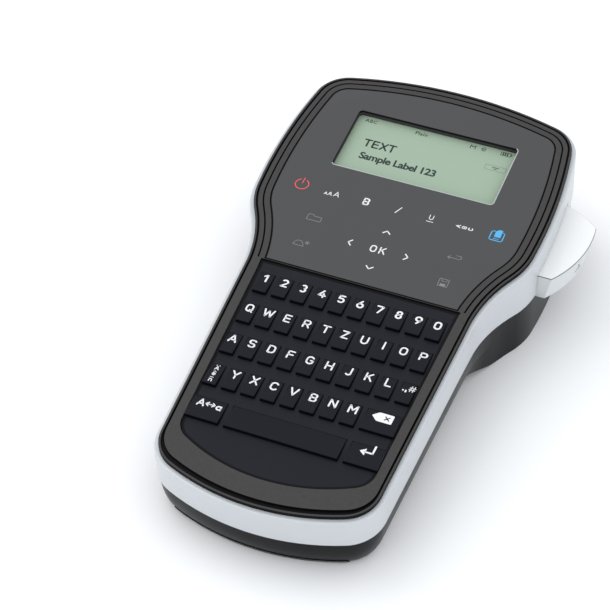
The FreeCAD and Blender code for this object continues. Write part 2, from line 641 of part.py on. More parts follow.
def key(name, first, last, row):
    """A wedge that rises towards the user, with its foot inside the mat."""
    left, right, near, far = key_limits(first, last, row)
    wedge = doc.addObject("Part::Wedge", name)
    foot = "0 - mat_top - key_stem"
    bound(wedge, Xmin=left, Xmax=right, X2min=left, X2max=right, Ymin=near, Ymax=far, Zmin=foot, Z2min=foot)
    bound(wedge, Zmax="key_rise_near - mat_top", Z2max="key_rise_far - mat_top")
    return node(name, wedge)


mat_blank = mat_slab("mat_blank", size("fit_gap"), "0 - mat_top - mat_thick", "0 - mat_top")
key_holes = []
for name, first, last, row in key_places():
    key(name, first, last, row)
    left, right, near, far = key_limits(first, last, row)
    key_holes.append(block(name + "_hole", left + " - slide_gap", right + " + slide_gap",
                           near + " - slide_gap", far + " + slide_gap", "0 - mat_top - mat_thick - 1", "1"))
node("keypad_mat", cut("keypad_mat", mat_blank, *key_holes))

board_low = "0 - bezel_thick - 3 * thin_gap - display_thick - board_thick"
node("circuit_board", slab("circuit_board", deck_edges(-size("board_inset")), board_low,
                           board_low + " + board_thick"))

# ---------------------------------------------------------------- print mechanism

pinion_disc = rod("pinion_disc", "motor_x", "motor_y", "0 - gear_top - gear_thick", "0 - gear_top",
                  "pinion_radius - gear_gap / 2")
pinion_shaft = rod("pinion_shaft", "motor_x", "motor_y", "0 - ceiling_top - ceiling_thick - shaft_depth",
                   "0 - gear_top", "spindle_radius")
node("motor_pinion", joined("motor_pinion", pinion_disc, pinion_shaft))
motor_can = rod("motor_can", "motor_x", "motor_y", "0 - ceiling_top - ceiling_thick - motor_length",
                "0 - ceiling_top - ceiling_thick", "motor_radius")
motor_socket = rod("motor_socket", "motor_x", "motor_y",
                   "0 - ceiling_top - ceiling_thick - shaft_depth - fit_gap", "0 - ceiling_top",
                   "spindle_radius + running_gap")
node("drive_motor", cut("drive_motor", motor_can, motor_socket))

idler_disc = rod("idler_disc", idler_x, idler_y, "0 - gear_top - gear_thick", "0 - gear_top",
                 "idler_radius - gear_gap / 2")
idler_bore = rod("idler_bore", idler_x, idler_y, "0 - gear_top - gear_thick - 1", "1 - gear_top",
                 "spindle_radius + running_gap")
node("idler_gear", cut("idler_gear", idler_disc, idler_bore))

platen_roll = rod("platen_roll", "platen_x", "platen_y", "0 - tape_top - tape_width", "0 - tape_top",
                  "platen_radius")
platen_shaft = rod("platen_shaft", "platen_x", "platen_y", "0 - tape_top - tape_width - shaft_end",
                   "0 - gear_top", "spindle_radius")
platen_gear = rod("platen_gear", "platen_x", "platen_y", "0 - gear_top - gear_thick", "0 - gear_top",
                  "platen_gear_radius - gear_gap / 2")
node("platen_roller", joined("platen_roller", platen_roll, platen_shaft, platen_gear))

head_near = "platen_y - head_length / 2"
head_far = "platen_y + head_length / 2"
head_x = "platen_x + platen_radius + head_gap"
node("print_head", block("print_head", head_x, head_x + " + head_thick", head_near, head_far,
                         "0 - tape_top - tape_width", "0 - ceiling_top - ceiling_thick"))

cassette_left = "cassette_gap - bay_left"
node("tape_cassette", block("tape_cassette", cassette_left, cassette_left + " + cassette_width",
                            "bay_near + cassette_gap", "bay_far - cassette_gap",
                            "0 - ceiling_top - ceiling_thick - cassette_drop - cassette_depth",
                            "0 - ceiling_top - ceiling_thick - cassette_drop"))

node("battery_pack", block("battery_pack", "0 - battery_width / 2", "battery_width / 2",
                           "battery_far - battery_length", "battery_far",
                           battery_ceiling + " - battery_thick - fit_gap", battery_ceiling + " - fit_gap"))

# ---------------------------------------------------------------- cutter lever and blade

pivot = FreeCAD.Vector(size("lever_x"), size("lever_y"), 0)


def pad_edges(inside):
    """The finger pad's outline, its outer and far edges moved inwards."""
    radius = size("lever_radius") - inside

    def on_far_edge(x):
        return FreeCAD.Vector(x, pivot.y + math.sqrt(radius ** 2 - (x - pivot.x) ** 2), 0)

    tip_x = size("lever_tip_x") - inside
    tip = on_far_edge(tip_x)
    inner_far = on_far_edge(size("lever_inner"))
    inner_near = FreeCAD.Vector(size("lever_inner"), size("lever_near"), 0)
    corner = FreeCAD.Vector(size("lever_corner_x") - inside, size("lever_near"), 0)
    chord = tip - corner
    outwards = FreeCAD.Vector(chord.y, -chord.x, 0) / chord.Length
    bow = corner + chord / 2 + outwards * size("lever_bow")
    return [Part.LineSegment(inner_near, corner), Part.Arc(corner, bow, tip),
            Part.Arc(tip, on_far_edge((tip_x + size("lever_inner")) / 2), inner_far),
            Part.LineSegment(inner_far, inner_near)]


finger_pad = doc.addObject("Part::Loft", "finger_pad")
finger_pad.Sections = [flat_outline("pad_lower", pad_edges(size("lever_undercut")), "0 - lever_bottom"),
                       flat_outline("pad_upper", pad_edges(0.0), "0 - lever_top")]
finger_pad.Solid = True
finger_pad.Ruled = True
arm_low = "0 - arm_top - arm_thick"
hub = rod("lever_hub_disc", "lever_x", "lever_y", arm_low, "0 - arm_top", "lever_hub")
web_end = size("lever_inner") + size("pad_overlap")
web_edges = polygon([(size("lever_x"), size("lever_near")), (web_end, size("lever_near")),
                     (web_end, size("lever_y") + size("web_length")),
                     (size("lever_x"), size("lever_y") + size("lever_hub"))])
web = slab("lever_web", web_edges, arm_low, "0 - arm_top")
arm_left = "lever_x - lever_hub"
arm = block("lever_arm", arm_left, arm_left + " + arm_width", "lever_y", "blade_y + blade_thick + arm_end",
            arm_low, "0 - arm_top")
lever_bore = rod("lever_bore", "lever_x", "lever_y", LOWEST, "0", "lever_pin + running_gap")
blade_seat = block("blade_seat", arm_left + " - blade_reach", arm_left + " + arm_width / 2", "blade_y",
                   "blade_y + blade_thick", "0 - tape_top - tape_width", "blade_thick - arm_top")
node("cutter_lever", cut("cutter_lever", joined("lever_blank", finger_pad, hub, web, arm), lever_bore,
                         blade_seat))
node("cutter_blade", block("cutter_blade", arm_left + " - blade_reach", arm_left + " + arm_width / 2",
                           "blade_y", "blade_y + blade_thick", "0 - tape_top - tape_width", "0 - arm_top"))


# ---------------------------------------------------------------- lay the maker on its table

def rest_height():
    """Height of the deck origin above the table plane."""
    tilt = math.radians(size("deck_tilt"))
    return size("heel_depth") * math.cos(tilt) - size("heel_at") * math.sin(tilt)


def rest_offset():
    """Distance along the table from the deck origin to the middle of the rest face under the head."""
    tilt = math.radians(size("deck_tilt"))
    return size("rest_at") * math.cos(tilt) - table_level(size("rest_at")) * math.sin(tilt)


def seat_on_table(solid):
    """Turn a finished piece by the deck's tilt, lift it and centre it on its rest face."""
    solid.Placement = FreeCAD.Placement(FreeCAD.Vector(0, -rest_offset(), rest_height()),
                                        FreeCAD.Rotation(FreeCAD.Vector(1, 0, 0), size("deck_tilt")))
    bound(solid, Placement__Rotation__Angle="deck_tilt * 1 deg")


doc.recompute()
for solid in nodes.values():
    seat_on_table(solid)
doc.recompute()

failed = [obj.Label for obj in doc.Objects if "Invalid" in obj.State or "Error" in obj.State]
if failed:
    raise RuntimeError("failed features: " + ", ".join(failed))
for name, solid in nodes.items():
    if solid.Shape.isNull() or not solid.Shape.isValid() or not solid.Shape.Solids:
        raise RuntimeError("bad shape: " + name)
    if len(solid.Shape.Solids) != 1:
        print("more than one solid in", name, len(solid.Shape.Solids))

os.makedirs("parts", exist_ok=True)
for name, solid in nodes.items():
    solid.Shape.exportStep("parts/%s.step" % name)
print(len(nodes), "nodes written")
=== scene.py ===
"""Handheld label maker: the visible surfaces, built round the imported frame."""
import json
import math

import bmesh
import bpy
from mathutils import Matrix, Vector


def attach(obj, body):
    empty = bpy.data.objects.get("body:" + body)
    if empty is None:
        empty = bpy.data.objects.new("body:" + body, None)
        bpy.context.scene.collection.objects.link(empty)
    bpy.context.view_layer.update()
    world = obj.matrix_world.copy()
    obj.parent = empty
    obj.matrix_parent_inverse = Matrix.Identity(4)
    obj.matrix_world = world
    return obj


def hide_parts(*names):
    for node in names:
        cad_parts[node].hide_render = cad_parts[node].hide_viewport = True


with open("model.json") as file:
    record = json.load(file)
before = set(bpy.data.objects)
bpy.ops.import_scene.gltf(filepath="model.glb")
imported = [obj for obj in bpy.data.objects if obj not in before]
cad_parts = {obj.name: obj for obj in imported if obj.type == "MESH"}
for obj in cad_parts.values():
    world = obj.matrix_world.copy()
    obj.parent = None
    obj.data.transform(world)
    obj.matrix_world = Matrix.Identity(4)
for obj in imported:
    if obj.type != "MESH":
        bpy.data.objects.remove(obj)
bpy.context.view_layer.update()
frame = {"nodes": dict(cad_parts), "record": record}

MM = 0.001
joints = {joint["name"]: joint for joint in frame["record"]["behaviour"]["joints"]}

# ------------------------------------------------------------------ the sloping key deck

LEVER_PIVOT_ON_DECK = Vector((43, 35.5, -16.2)) * MM
deck_normal = Vector(joints["cutter_lever_hinge"]["axis"])
deck_turn = Matrix.Rotation(math.atan2(-deck_normal.y, deck_normal.z), 4, "X")
deck_shift = Vector(joints["cutter_lever_hinge"]["pos_m"]) - deck_turn @ LEVER_PIVOT_ON_DECK
DECK = Matrix.Translation(deck_shift) @ deck_turn
TO_DECK = DECK.inverted()

# Heights on the deck, in millimetres.
PANEL_TOP = -0.1
GLASS_TOP = -2.7

# A face is flat on the deck if its normal is at least this close to the deck's.
FLAT = 0.97
LEVEL_TOLERANCE = 0.05 * MM


def on_deck(x, y, z, turn=0.0):
    """Where a flat sign, drawn round its own middle, lies on the deck; millimetres and degrees."""
    return DECK @ Matrix.Translation(Vector((x, y, z)) * MM) @ Matrix.Rotation(math.radians(turn), 4, "Z")


def deck_box(node):
    """Lowest and highest corner of a node, measured along the deck's own axes."""
    corners = [TO_DECK @ vertex.co for vertex in frame["nodes"][node].data.vertices]
    low = Vector([min(corner[i] for corner in corners) for i in range(3)])
    high = Vector([max(corner[i] for corner in corners) for i in range(3)])
    return low, high


# ------------------------------------------------------------------ shared shader effects

def effect(name, inputs, outputs):
    """An empty shader node group with named sockets."""
    tree = bpy.data.node_groups.new(name, "ShaderNodeTree")
    for label, kind, value in inputs:
        socket = tree.interface.new_socket(label, in_out="INPUT", socket_type=kind)
        socket.default_value = value
    for label, kind in outputs:
        tree.interface.new_socket(label, in_out="OUTPUT", socket_type=kind)
    return tree, tree.nodes.new("NodeGroupInput"), tree.nodes.new("NodeGroupOutput")


def mathed(tree, operation, first, second):
    """One Math node; its inputs are sockets or numbers."""
    node = tree.nodes.new("ShaderNodeMath")
    node.operation = operation
    for slot, value in enumerate((first, second)):
        if isinstance(value, (int, float)):
            node.inputs[slot].default_value = value
        else:
            tree.links.new(value, node.inputs[slot])
    return node.outputs[0]


def build_grain():
    """Moulded or sprayed grain: a height for bump, and a slow mottle for colour and gloss."""
    tree, inner, outer = effect("moulded_grain", [("Grain", "NodeSocketFloat", 1500.0),
                                                  ("Cells", "NodeSocketFloat", 0.5),
                                                  ("Mottle scale", "NodeSocketFloat", 60.0)],
                                [("Height", "NodeSocketFloat"), ("Mottle", "NodeSocketFloat")])
    place = tree.nodes.new("ShaderNodeTexCoord")
    noise = tree.nodes.new("ShaderNodeTexNoise")
    noise.inputs["Detail"].default_value = 3.0
    cells = tree.nodes.new("ShaderNodeTexVoronoi")
    cells.feature = "SMOOTH_F1"
    slow = tree.nodes.new("ShaderNodeTexNoise")
    slow.inputs["Detail"].default_value = 4.0
    for texture in (noise, cells, slow):
        tree.links.new(place.outputs["Object"], texture.inputs["Vector"])
    tree.links.new(inner.outputs["Grain"], noise.inputs["Scale"])
    tree.links.new(inner.outputs["Grain"], cells.inputs["Scale"])
    tree.links.new(inner.outputs["Mottle scale"], slow.inputs["Scale"])
    cell_part = mathed(tree, "MULTIPLY", cells.outputs["Distance"], inner.outputs["Cells"])
    height = mathed(tree, "ADD", noise.outputs["Fac"], cell_part)
    tree.links.new(height, outer.inputs["Height"])
    tree.links.new(slow.outputs["Fac"], outer.inputs["Mottle"])
    return tree


def build_tone():
    """A colour that drifts a little with a mask and lightens along worn edges."""
    tree, inner, outer = effect("toned_colour", [("Colour", "NodeSocketColor", (1, 1, 1, 1)),
                                                 ("Mask", "NodeSocketFloat", 0.5),
                                                 ("Drift", "NodeSocketFloat", 0.1),
                                                 ("Wear", "NodeSocketFloat", 0.0)],
                                [("Colour", "NodeSocketColor")])
    centred = mathed(tree, "SUBTRACT", inner.outputs["Mask"], 0.5)
    scaled = mathed(tree, "MULTIPLY", centred, inner.outputs["Drift"])
    worn = mathed(tree, "MULTIPLY", inner.outputs["Wear"], inner.outputs["Mask"])
    factor = mathed(tree, "ADD", mathed(tree, "ADD", scaled, 1.0), worn)
    blend = tree.nodes.new("ShaderNodeVectorMath")
    blend.operation = "SCALE"
    tree.links.new(inner.outputs["Colour"], blend.inputs[0])
    tree.links.new(factor, blend.inputs["Scale"])
    tree.links.new(blend.outputs[0], outer.inputs["Colour"])
    return tree


def build_edges():
    """A mask that is one on sharp outer edges, where hands polish or scuff a surface."""
    tree, inner, outer = effect("worn_edges", [("Amount", "NodeSocketFloat", 1.0)],
                                [("Wear", "NodeSocketFloat")])
    shape = tree.nodes.new("ShaderNodeNewGeometry")
    spread = tree.nodes.new("ShaderNodeMapRange")
    spread.inputs["From Min"].default_value = 0.52
    spread.inputs["From Max"].default_value = 0.62
    tree.links.new(shape.outputs["Pointiness"], spread.inputs["Value"])
    tree.links.new(mathed(tree, "MULTIPLY", spread.outputs["Result"], inner.outputs["Amount"]),
                   outer.inputs["Wear"])
    return tree


def build_gloss():
    """A roughness that drifts a little with a mask."""
    tree, inner, outer = effect("drifting_gloss", [("Roughness", "NodeSocketFloat", 0.5),
                                                   ("Mask", "NodeSocketFloat", 0.5),
                                                   ("Drift", "NodeSocketFloat", 0.1)],
                                [("Roughness", "NodeSocketFloat")])
    centred = mathed(tree, "SUBTRACT", inner.outputs["Mask"], 0.5)
    scaled = mathed(tree, "MULTIPLY", centred, inner.outputs["Drift"])
    tree.links.new(mathed(tree, "ADD", scaled, inner.outputs["Roughness"]), outer.inputs["Roughness"])
    return tree


GRAIN = build_grain()
TONE = build_tone()
EDGES = build_edges()
GLOSS = build_gloss()


def finish(name, colour, roughness, grain=1500.0, cells=0.5, bump=0.1, depth=0.04, drift=0.12,
           mottle=60.0, gloss_drift=0.12, wear=0.25, **fixed):
    """A material: colour and gloss drift a little over a grained surface with worn edges.

    Depth is in millimetres. The fixed values go straight to the shader's own sockets.
    """
    material = bpy.data.materials.new(name)
    material.use_nodes = True
    tree = material.node_tree
    shader = tree.nodes["Principled BSDF"]

    def group(kind, **values):
        node = tree.nodes.new("ShaderNodeGroup")
        node.node_tree = kind
        for socket, value in values.items():
            node.inputs[socket.replace("_", " ")].default_value = value
        return node

    grained = group(GRAIN, Grain=grain, Cells=cells, Mottle_scale=mottle)
    glossed = group(GLOSS, Roughness=roughness, Drift=gloss_drift)
    raised = tree.nodes.new("ShaderNodeBump")
    raised.inputs["Strength"].default_value = bump
    raised.inputs["Distance"].default_value = depth * MM
    if drift or wear:
        toned = group(TONE, Colour=(*colour, 1), Drift=drift)
        tree.links.new(grained.outputs["Mottle"], toned.inputs["Mask"])
        tree.links.new(toned.outputs["Colour"], shader.inputs["Base Color"])
        if wear:
            worn = group(EDGES, Amount=wear)
            tree.links.new(worn.outputs["Wear"], toned.inputs["Wear"])
    else:
        shader.inputs["Base Color"].default_value = (*colour, 1)
    tree.links.new(grained.outputs["Mottle"], glossed.inputs["Mask"])
    tree.links.new(glossed.outputs["Roughness"], shader.inputs["Roughness"])
    tree.links.new(grained.outputs["Height"], raised.inputs["Height"])
    tree.links.new(raised.outputs["Normal"], shader.inputs["Normal"])
    for socket, value in fixed.items():
        shader.inputs[socket.replace("_", " ")].default_value = value
    return material


# Casing, keys and lever.
band_paint = finish("band_silver_paint", (0.56, 0.59, 0.615), 0.36, grain=5200, cells=0.2, bump=0.08,
                    drift=0.04, wear=0.1, Metallic=0.15, Coat_Weight=0.2, Coat_Roughness=0.2)
case_plastic = finish("case_black_satin", (0.004, 0.004, 0.0055), 0.32, grain=2400, bump=0.12, drift=0.3,
                      Specular_IOR_Level=0.13, Sheen_Weight=0.05, Sheen_Roughness=0.3)
bezel_plastic = finish("bezel_textured_grey", (0.044, 0.0415, 0.0415), 0.5, grain=1900, cells=0.9, bump=0.5,
                       depth=0.1, drift=0.35, mottle=900, Specular_IOR_Level=0.2)
# Near-black for grooves, recess walls and gap lines: a painted shade.
groove_painted_shade = finish("groove_shadow_black", (0.004, 0.004, 0.005), 0.6, grain=2000, Specular_IOR_Level=0.1)
panel_film = finish("panel_matt_film", (0.071, 0.071, 0.074), 0.5, grain=5200, cells=0.1, bump=0.05,
                    drift=0.05, wear=0.1, Specular_IOR_Level=0.12)
mat_rubber = finish("mat_silicone", (0.0105, 0.011, 0.0155), 0.5, grain=2600, cells=0.3, bump=0.12,
                    drift=0.2, Specular_IOR_Level=0.12)
key_rubber = finish("key_silicone", (0.0072, 0.0076, 0.0118), 0.5, grain=2600, cells=0.3, bump=0.10,
                    drift=0.25, wear=0.6, Specular_IOR_Level=0.1)
# The keys' flanks: a darker copy of the key rubber, a painted shade.
key_painted_shade_flank = finish("key_silicone_flank_painted_shade", (0.003, 0.003, 0.0045), 0.6, grain=2600, bump=0.1, drift=0.2,
                   Specular_IOR_Level=0.05)
lever_plastic = finish("lever_white_gloss", (0.86, 0.865, 0.865), 0.32, grain=1800, cells=0.2, bump=0.03,
                       drift=0.02, wear=0.0)
# The lever's flanks: a greyer copy of the white lever plastic, a painted shade.
lever_painted_shade_flank = finish("lever_white_flank_painted_shade", (0.66, 0.69, 0.70), 0.42, grain=1800, cells=0.2, bump=0.05,
                     drift=0.05, wear=0.0)
mark_grey = finish("lever_moulded_mark", (0.13, 0.14, 0.15), 0.4, grain=1800, bump=0.05)

# Prints and display.
print_white = finish("legend_white_print", (0.80, 0.81, 0.82), 0.55, grain=4000, bump=0.05, drift=0.04,
                     wear=0.0, Specular_IOR_Level=0.2)
print_dim = finish("legend_dim_print", (0.2, 0.2, 0.205), 0.55, grain=4000, bump=0.05, drift=0.1,
                   Specular_IOR_Level=0.2)
print_red = finish("legend_red_print", (0.80, 0.085, 0.09), 0.5, grain=4000, bump=0.05, drift=0.05,
                   Specular_IOR_Level=0.2)
print_blue = finish("legend_blue_print", (0.075, 0.37, 0.66), 0.5, grain=4000, bump=0.05, drift=0.08,
                    Specular_IOR_Level=0.2)
glass_green = finish("display_green_glass", (0.325, 0.42, 0.325), 0.3, grain=900, cells=0.1, bump=0.01,
                     drift=0.06, mottle=35, wear=0.0, Specular_IOR_Level=0.12)
# A light green for the window's near and right border strips: a painted highlight.
window_painted_highlight_rim = finish("window_rim_painted_highlight", (0.42, 0.47, 0.43), 0.3, grain=900, bump=0.02, wear=0.0)
ink_dark = finish("display_dark_segments", (0.025, 0.04, 0.035), 0.4, grain=900, bump=0.02,
                  Specular_IOR_Level=0.12)
ink_faint = finish("display_faint_segments", (0.16, 0.225, 0.17), 0.4, grain=900, bump=0.02,
                   Specular_IOR_Level=0.12)

# Parts under the covers.
board_green = finish("board_solder_mask", (0.02, 0.13, 0.05), 0.35, grain=900)
can_steel = finish("motor_drawn_steel", (0.55, 0.55, 0.57), 0.3, grain=1200, Metallic=1.0)
blade_steel = finish("blade_ground_steel", (0.62, 0.62, 0.63), 0.24, grain=3000, bump=0.15, Metallic=1.0)
sink_metal = finish("head_cast_aluminium", (0.60, 0.61, 0.63), 0.4, grain=1400, bump=0.2, Metallic=1.0)
cassette_grey = finish("cassette_moulded_grey", (0.55, 0.56, 0.56), 0.45, grain=1300, bump=0.15)
pack_wrap = finish("battery_shrink_wrap", (0.05, 0.10, 0.24), 0.3, grain=700)
roller_rubber = finish("platen_ground_rubber", (0.03, 0.03, 0.03), 0.65, grain=3000, bump=0.3)
acetal = finish("gear_acetal", (0.74, 0.73, 0.68), 0.35, grain=1500, bump=0.05)
brass = finish("pinion_turned_brass", (0.76, 0.58, 0.26), 0.28, grain=2500, Metallic=1.0)


# ------------------------------------------------------------------ pieces

BODIES = frame["record"]["behaviour"]["bodies"]
BODY_OF = {node: body for body, members in BODIES.items() for node in members}
SMOOTH_BELOW = 32.0
MERGE_DISTANCE = 1e-6


def piece(node, bm, materials, name=None):
    """Turn a bmesh into a finished object that rides on its node's body, in place of that node."""
    name = name or node + "_visible"
    mesh = bpy.data.meshes.new(name)
    bm.normal_update()
    bm.to_mesh(mesh)
    bm.free()
    for material in materials:
        mesh.materials.append(material)
    mesh.shade_smooth()
    mesh.set_sharp_from_angle(angle=math.radians(SMOOTH_BELOW))
    made = bpy.data.objects.new(name, mesh)
    bpy.context.collection.objects.link(made)
    even = made.modifiers.new("even_shading", "WEIGHTED_NORMAL")
    even.keep_sharp = True
    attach(made, BODY_OF[node])
    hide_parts(node)


def copied(node):
    """A merged copy of a CAD node, with its flat stretches joined to single faces."""
    bm = bmesh.new()
    bm.from_mesh(frame["nodes"][node].data)
    bmesh.ops.remove_doubles(bm, verts=bm.verts, dist=MERGE_DISTANCE)
    bmesh.ops.dissolve_limit(bm, angle_limit=math.radians(1.0), verts=bm.verts, edges=bm.edges)
    return bm


def rounded(bm, edges, radius, segments):
    """Round a set of edges; the radius is in millimetres."""
    bmesh.ops.bevel(bm, geom=edges, offset=radius * MM, offset_type="OFFSET", segments=segments, profile=0.5,
                    affect="EDGES", clamp_overlap=True, material=-1)


def sharp_edges(bm, least=35.0):
    """The edges where two faces meet at more than an angle."""
    return [edge for edge in bm.edges
            if len(edge.link_faces) == 2 and edge.calc_face_angle(0) > math.radians(least)]


def restyled(node, material, radius):
    """A softened copy of a CAD node in a new finish, in place of the node."""
    bm = copied(node)
    rounded(bm, sharp_edges(bm), radius, segments=2)
    piece(node, bm, [material])


# ------------------------------------------------------------------ signs: flat shapes in millimetres

CAP_SEGMENTS = 12
DEGREES_PER_STEP = 12


def bar(start, end, width):
    """A straight stroke with round ends."""
    start, end = Vector(start), Vector(end)
    run = end - start
    bm = bmesh.new()
    bmesh.ops.create_circle(bm, cap_ends=True, segments=CAP_SEGMENTS, radius=width / 2)
    right = [vertex for vertex in bm.verts if vertex.co.x > 1e-6]
    bmesh.ops.translate(bm, vec=Vector((run.length, 0, 0)), verts=right)
    turn = Matrix.Translation((start.x, start.y, 0)) @ Matrix.Rotation(math.atan2(run.y, run.x), 4, "Z")
    bmesh.ops.transform(bm, matrix=turn, verts=bm.verts)
    return bm


def ring(radius, width, start=0.0, sweep=360.0, centre=(0, 0)):
    """A round stroke, or a part of one."""
    bm = bmesh.new()
    inner = bm.verts.new((radius - width / 2, 0, 0))
    outer = bm.verts.new((radius + width / 2, 0, 0))
    line = bm.edges.new((inner, outer))
    full = sweep >= 360
    bmesh.ops.spin(bm, geom=[inner, outer, line], cent=(0, 0, 0), axis=(0, 0, 1), angle=math.radians(sweep),
                   steps=max(4, round(sweep / DEGREES_PER_STEP)), use_merge=full)
    place = Matrix.Translation((*centre, 0)) @ Matrix.Rotation(math.radians(start), 4, "Z")
    bmesh.ops.transform(bm, matrix=place, verts=bm.verts)
    return bm


def patch(corners, radius=0.0):
    """A filled shape with a few corners, rounded if asked."""
    bm = bmesh.new()
    for x, y in corners:
        bm.verts.new((x, y, 0))
    bmesh.ops.contextual_create(bm, geom=bm.verts[:])
    if radius:
        bmesh.ops.bevel(bm, geom=bm.verts[:], offset=radius, offset_type="OFFSET", segments=4, profile=0.5,
                        affect="VERTICES", clamp_overlap=True, material=-1)
    return bm


def polyline(points, width, closed=False):
    """Strokes that join up."""
    ends = points[1:] + points[:1] if closed else points[1:]
    return [bar(a, b, width) for a, b in zip(points, ends)]


TOP, SIDE, BEND = 1.6, 1.1, 0.5
LEFT_POST = ((-1.0, -TOP), (-1.0, TOP))

# Plain letters and digits 3.2 mm tall between stroke centres: straight strokes hold two points, and round
# ones a centre, a radius, a start angle and a sweep.
STROKES = {
    "A": [((-1.25, -TOP), (0, TOP)), ((1.25, -TOP), (0, TOP)), ((-0.85, -0.65), (0.85, -0.65))],
    "B": [LEFT_POST, ((-1.0, TOP), (0.2, TOP)), (0.2, 0.82, 0.78, -90, 180), ((-1.0, 0.04), (0.25, 0.04)),
          (0.2, -0.78, 0.82, -90, 180), ((-1.0, -TOP), (0.2, -TOP))],
    "C": [(0, BEND, SIDE, 20, 160), ((-SIDE, BEND), (-SIDE, -BEND)), (0, -BEND, SIDE, 180, 160)],
    "D": [LEFT_POST, ((-1.0, TOP), (0.05, TOP)), (0.05, BEND, SIDE, 0, 90), ((1.15, BEND), (1.15, -BEND)),
          (0.05, -BEND, SIDE, 270, 90), ((-1.0, -TOP), (0.05, -TOP))],
    "E": [LEFT_POST, ((-1.0, TOP), (0.95, TOP)), ((-1.0, 0.05), (0.75, 0.05)), ((-1.0, -TOP), (0.95, -TOP))],
    "F": [LEFT_POST, ((-1.0, TOP), (0.95, TOP)), ((-1.0, 0.0), (0.75, 0.0))],
    "G": [(0, BEND, SIDE, 20, 160), ((-SIDE, BEND), (-SIDE, -BEND)), (0, -BEND, SIDE, 180, 180),
          ((SIDE, -BEND), (SIDE, -0.1)), ((SIDE, -0.1), (0.25, -0.1))],
    "H": [((-SIDE, -TOP), (-SIDE, TOP)), ((SIDE, -TOP), (SIDE, TOP)), ((-SIDE, 0), (SIDE, 0))],
    "I": [((0, -TOP), (0, TOP))],
    "J": [((0.75, TOP), (0.75, -0.8)), (-0.05, -0.8, 0.8, 200, 160)],
    "K": [LEFT_POST, ((-1.0, -0.3), (1.05, TOP)), ((-0.25, 0.4), (1.15, -TOP))],
    "L": [((-0.85, -TOP), (-0.85, TOP)), ((-0.85, -TOP), (1.0, -TOP))],
    "M": [((-1.3, -TOP), (-1.3, TOP)), ((1.3, -TOP), (1.3, TOP)), ((-1.3, TOP), (0, -0.5)),
          ((1.3, TOP), (0, -0.5))],
    "N": [((-SIDE, -TOP), (-SIDE, TOP)), ((SIDE, -TOP), (SIDE, TOP)), ((-SIDE, TOP), (SIDE, -TOP))],
    "O": [(0, BEND, SIDE, 0, 180), ((-SIDE, BEND), (-SIDE, -BEND)), (0, -BEND, SIDE, 180, 180),
          ((SIDE, -BEND), (SIDE, BEND))],
    "P": [LEFT_POST, ((-1.0, TOP), (0.2, TOP)), (0.2, 0.7, 0.9, -90, 180), ((-1.0, -0.2), (0.2, -0.2))],
    "Q": [(0, BEND, SIDE, 0, 180), ((-SIDE, BEND), (-SIDE, -BEND)), (0, -BEND, SIDE, 180, 180),
          ((SIDE, -BEND), (SIDE, BEND)), ((0.25, -0.85), (1.2, -1.8))],
    "R": [LEFT_POST, ((-1.0, TOP), (0.2, TOP)), (0.2, 0.7, 0.9, -90, 180), ((-1.0, -0.2), (0.2, -0.2)),
          ((0.2, -0.2), (1.05, -TOP))],
    "S": [(-0.2, 0.8, 0.8, 90, 180), ((-0.2, TOP), (0.25, TOP)), (0.25, 0.8, 0.8, 15, 75),
          ((-0.2, 0), (0.2, 0)), (0.2, -0.8, 0.8, -90, 180), ((0.2, -TOP), (-0.25, -TOP)),
          (-0.25, -0.8, 0.8, 195, 75)],
    "T": [((-1.2, TOP), (1.2, TOP)), ((0, -TOP), (0, TOP))],
    "U": [((-SIDE, TOP), (-SIDE, -BEND)), (0, -BEND, SIDE, 180, 180), ((SIDE, -BEND), (SIDE, TOP))],
    "V": [((-1.25, TOP), (0, -TOP)), ((1.25, TOP), (0, -TOP))],
    "W": [((-1.7, TOP), (-0.9, -TOP)), ((-0.9, -TOP), (0, 1.2)), ((0, 1.2), (0.9, -TOP)),
          ((0.9, -TOP), (1.7, TOP))],
    "X": [((-1.15, -TOP), (1.15, TOP)), ((-1.15, TOP), (1.15, -TOP))],
    "Y": [((-1.2, TOP), (0, -0.1)), ((1.2, TOP), (0, -0.1)), ((0, -0.1), (0, -TOP))],
    "Z": [((-1.05, TOP), (1.05, TOP)), ((1.05, TOP), (-1.05, -TOP)), ((-1.05, -TOP), (1.1, -TOP))],
    "1": [((0.35, -TOP), (0.35, TOP)), ((0.35, TOP), (-0.65, 0.8))],
    "2": [(0, 0.68, 0.92, -35, 195), ((0.75, 0.15), (-0.95, -TOP)), ((-0.95, -TOP), (1.0, -TOP))],
    "3": [(0, 0.8, 0.8, -90, 240), (0, -0.75, 0.85, -150, 240)],
    "4": [((0.25, TOP), (-1.1, -0.8)), ((-1.1, -0.8), (1.15, -0.8)), ((0.5, 0.1), (0.5, -TOP))],
    "5": [((0.85, TOP), (-0.75, TOP)), ((-0.75, TOP), (-0.85, 0.2)), (0, -0.62, 0.98, -150, 280)],
    "6": [(0, -0.62, 0.98, 0, 360), ((-0.8, -0.05), (0.3, TOP))],
    "7": [((-1.05, TOP), (1.05, TOP)), ((1.05, TOP), (-0.25, -TOP))],
    "8": [(0, 0.82, 0.78, 0, 360), (0, -0.72, 0.88, 0, 360)],
    "9": [(0, 0.62, 0.98, 0, 360), ((0.8, 0.05), (-0.3, -TOP))],
    "0": [(0, 0.6, 1.0, 0, 180), ((-1.0, 0.6), (-1.0, -0.6)), (0, -0.6, 1.0, 180, 180),
          ((1.0, -0.6), (1.0, 0.6))],
    "a": [(0, -0.65, 0.85, 0, 360), ((0.85, 0.25), (0.85, -TOP))],
    "e": [(0, -0.65, 0.85, 0, 320), ((-0.85, -0.65), (0.85, -0.65))],
    "n": [((-0.8, 0.2), (-0.8, -TOP)), (0, -0.6, 0.8, 0, 180), ((0.8, -0.6), (0.8, -TOP))],
}


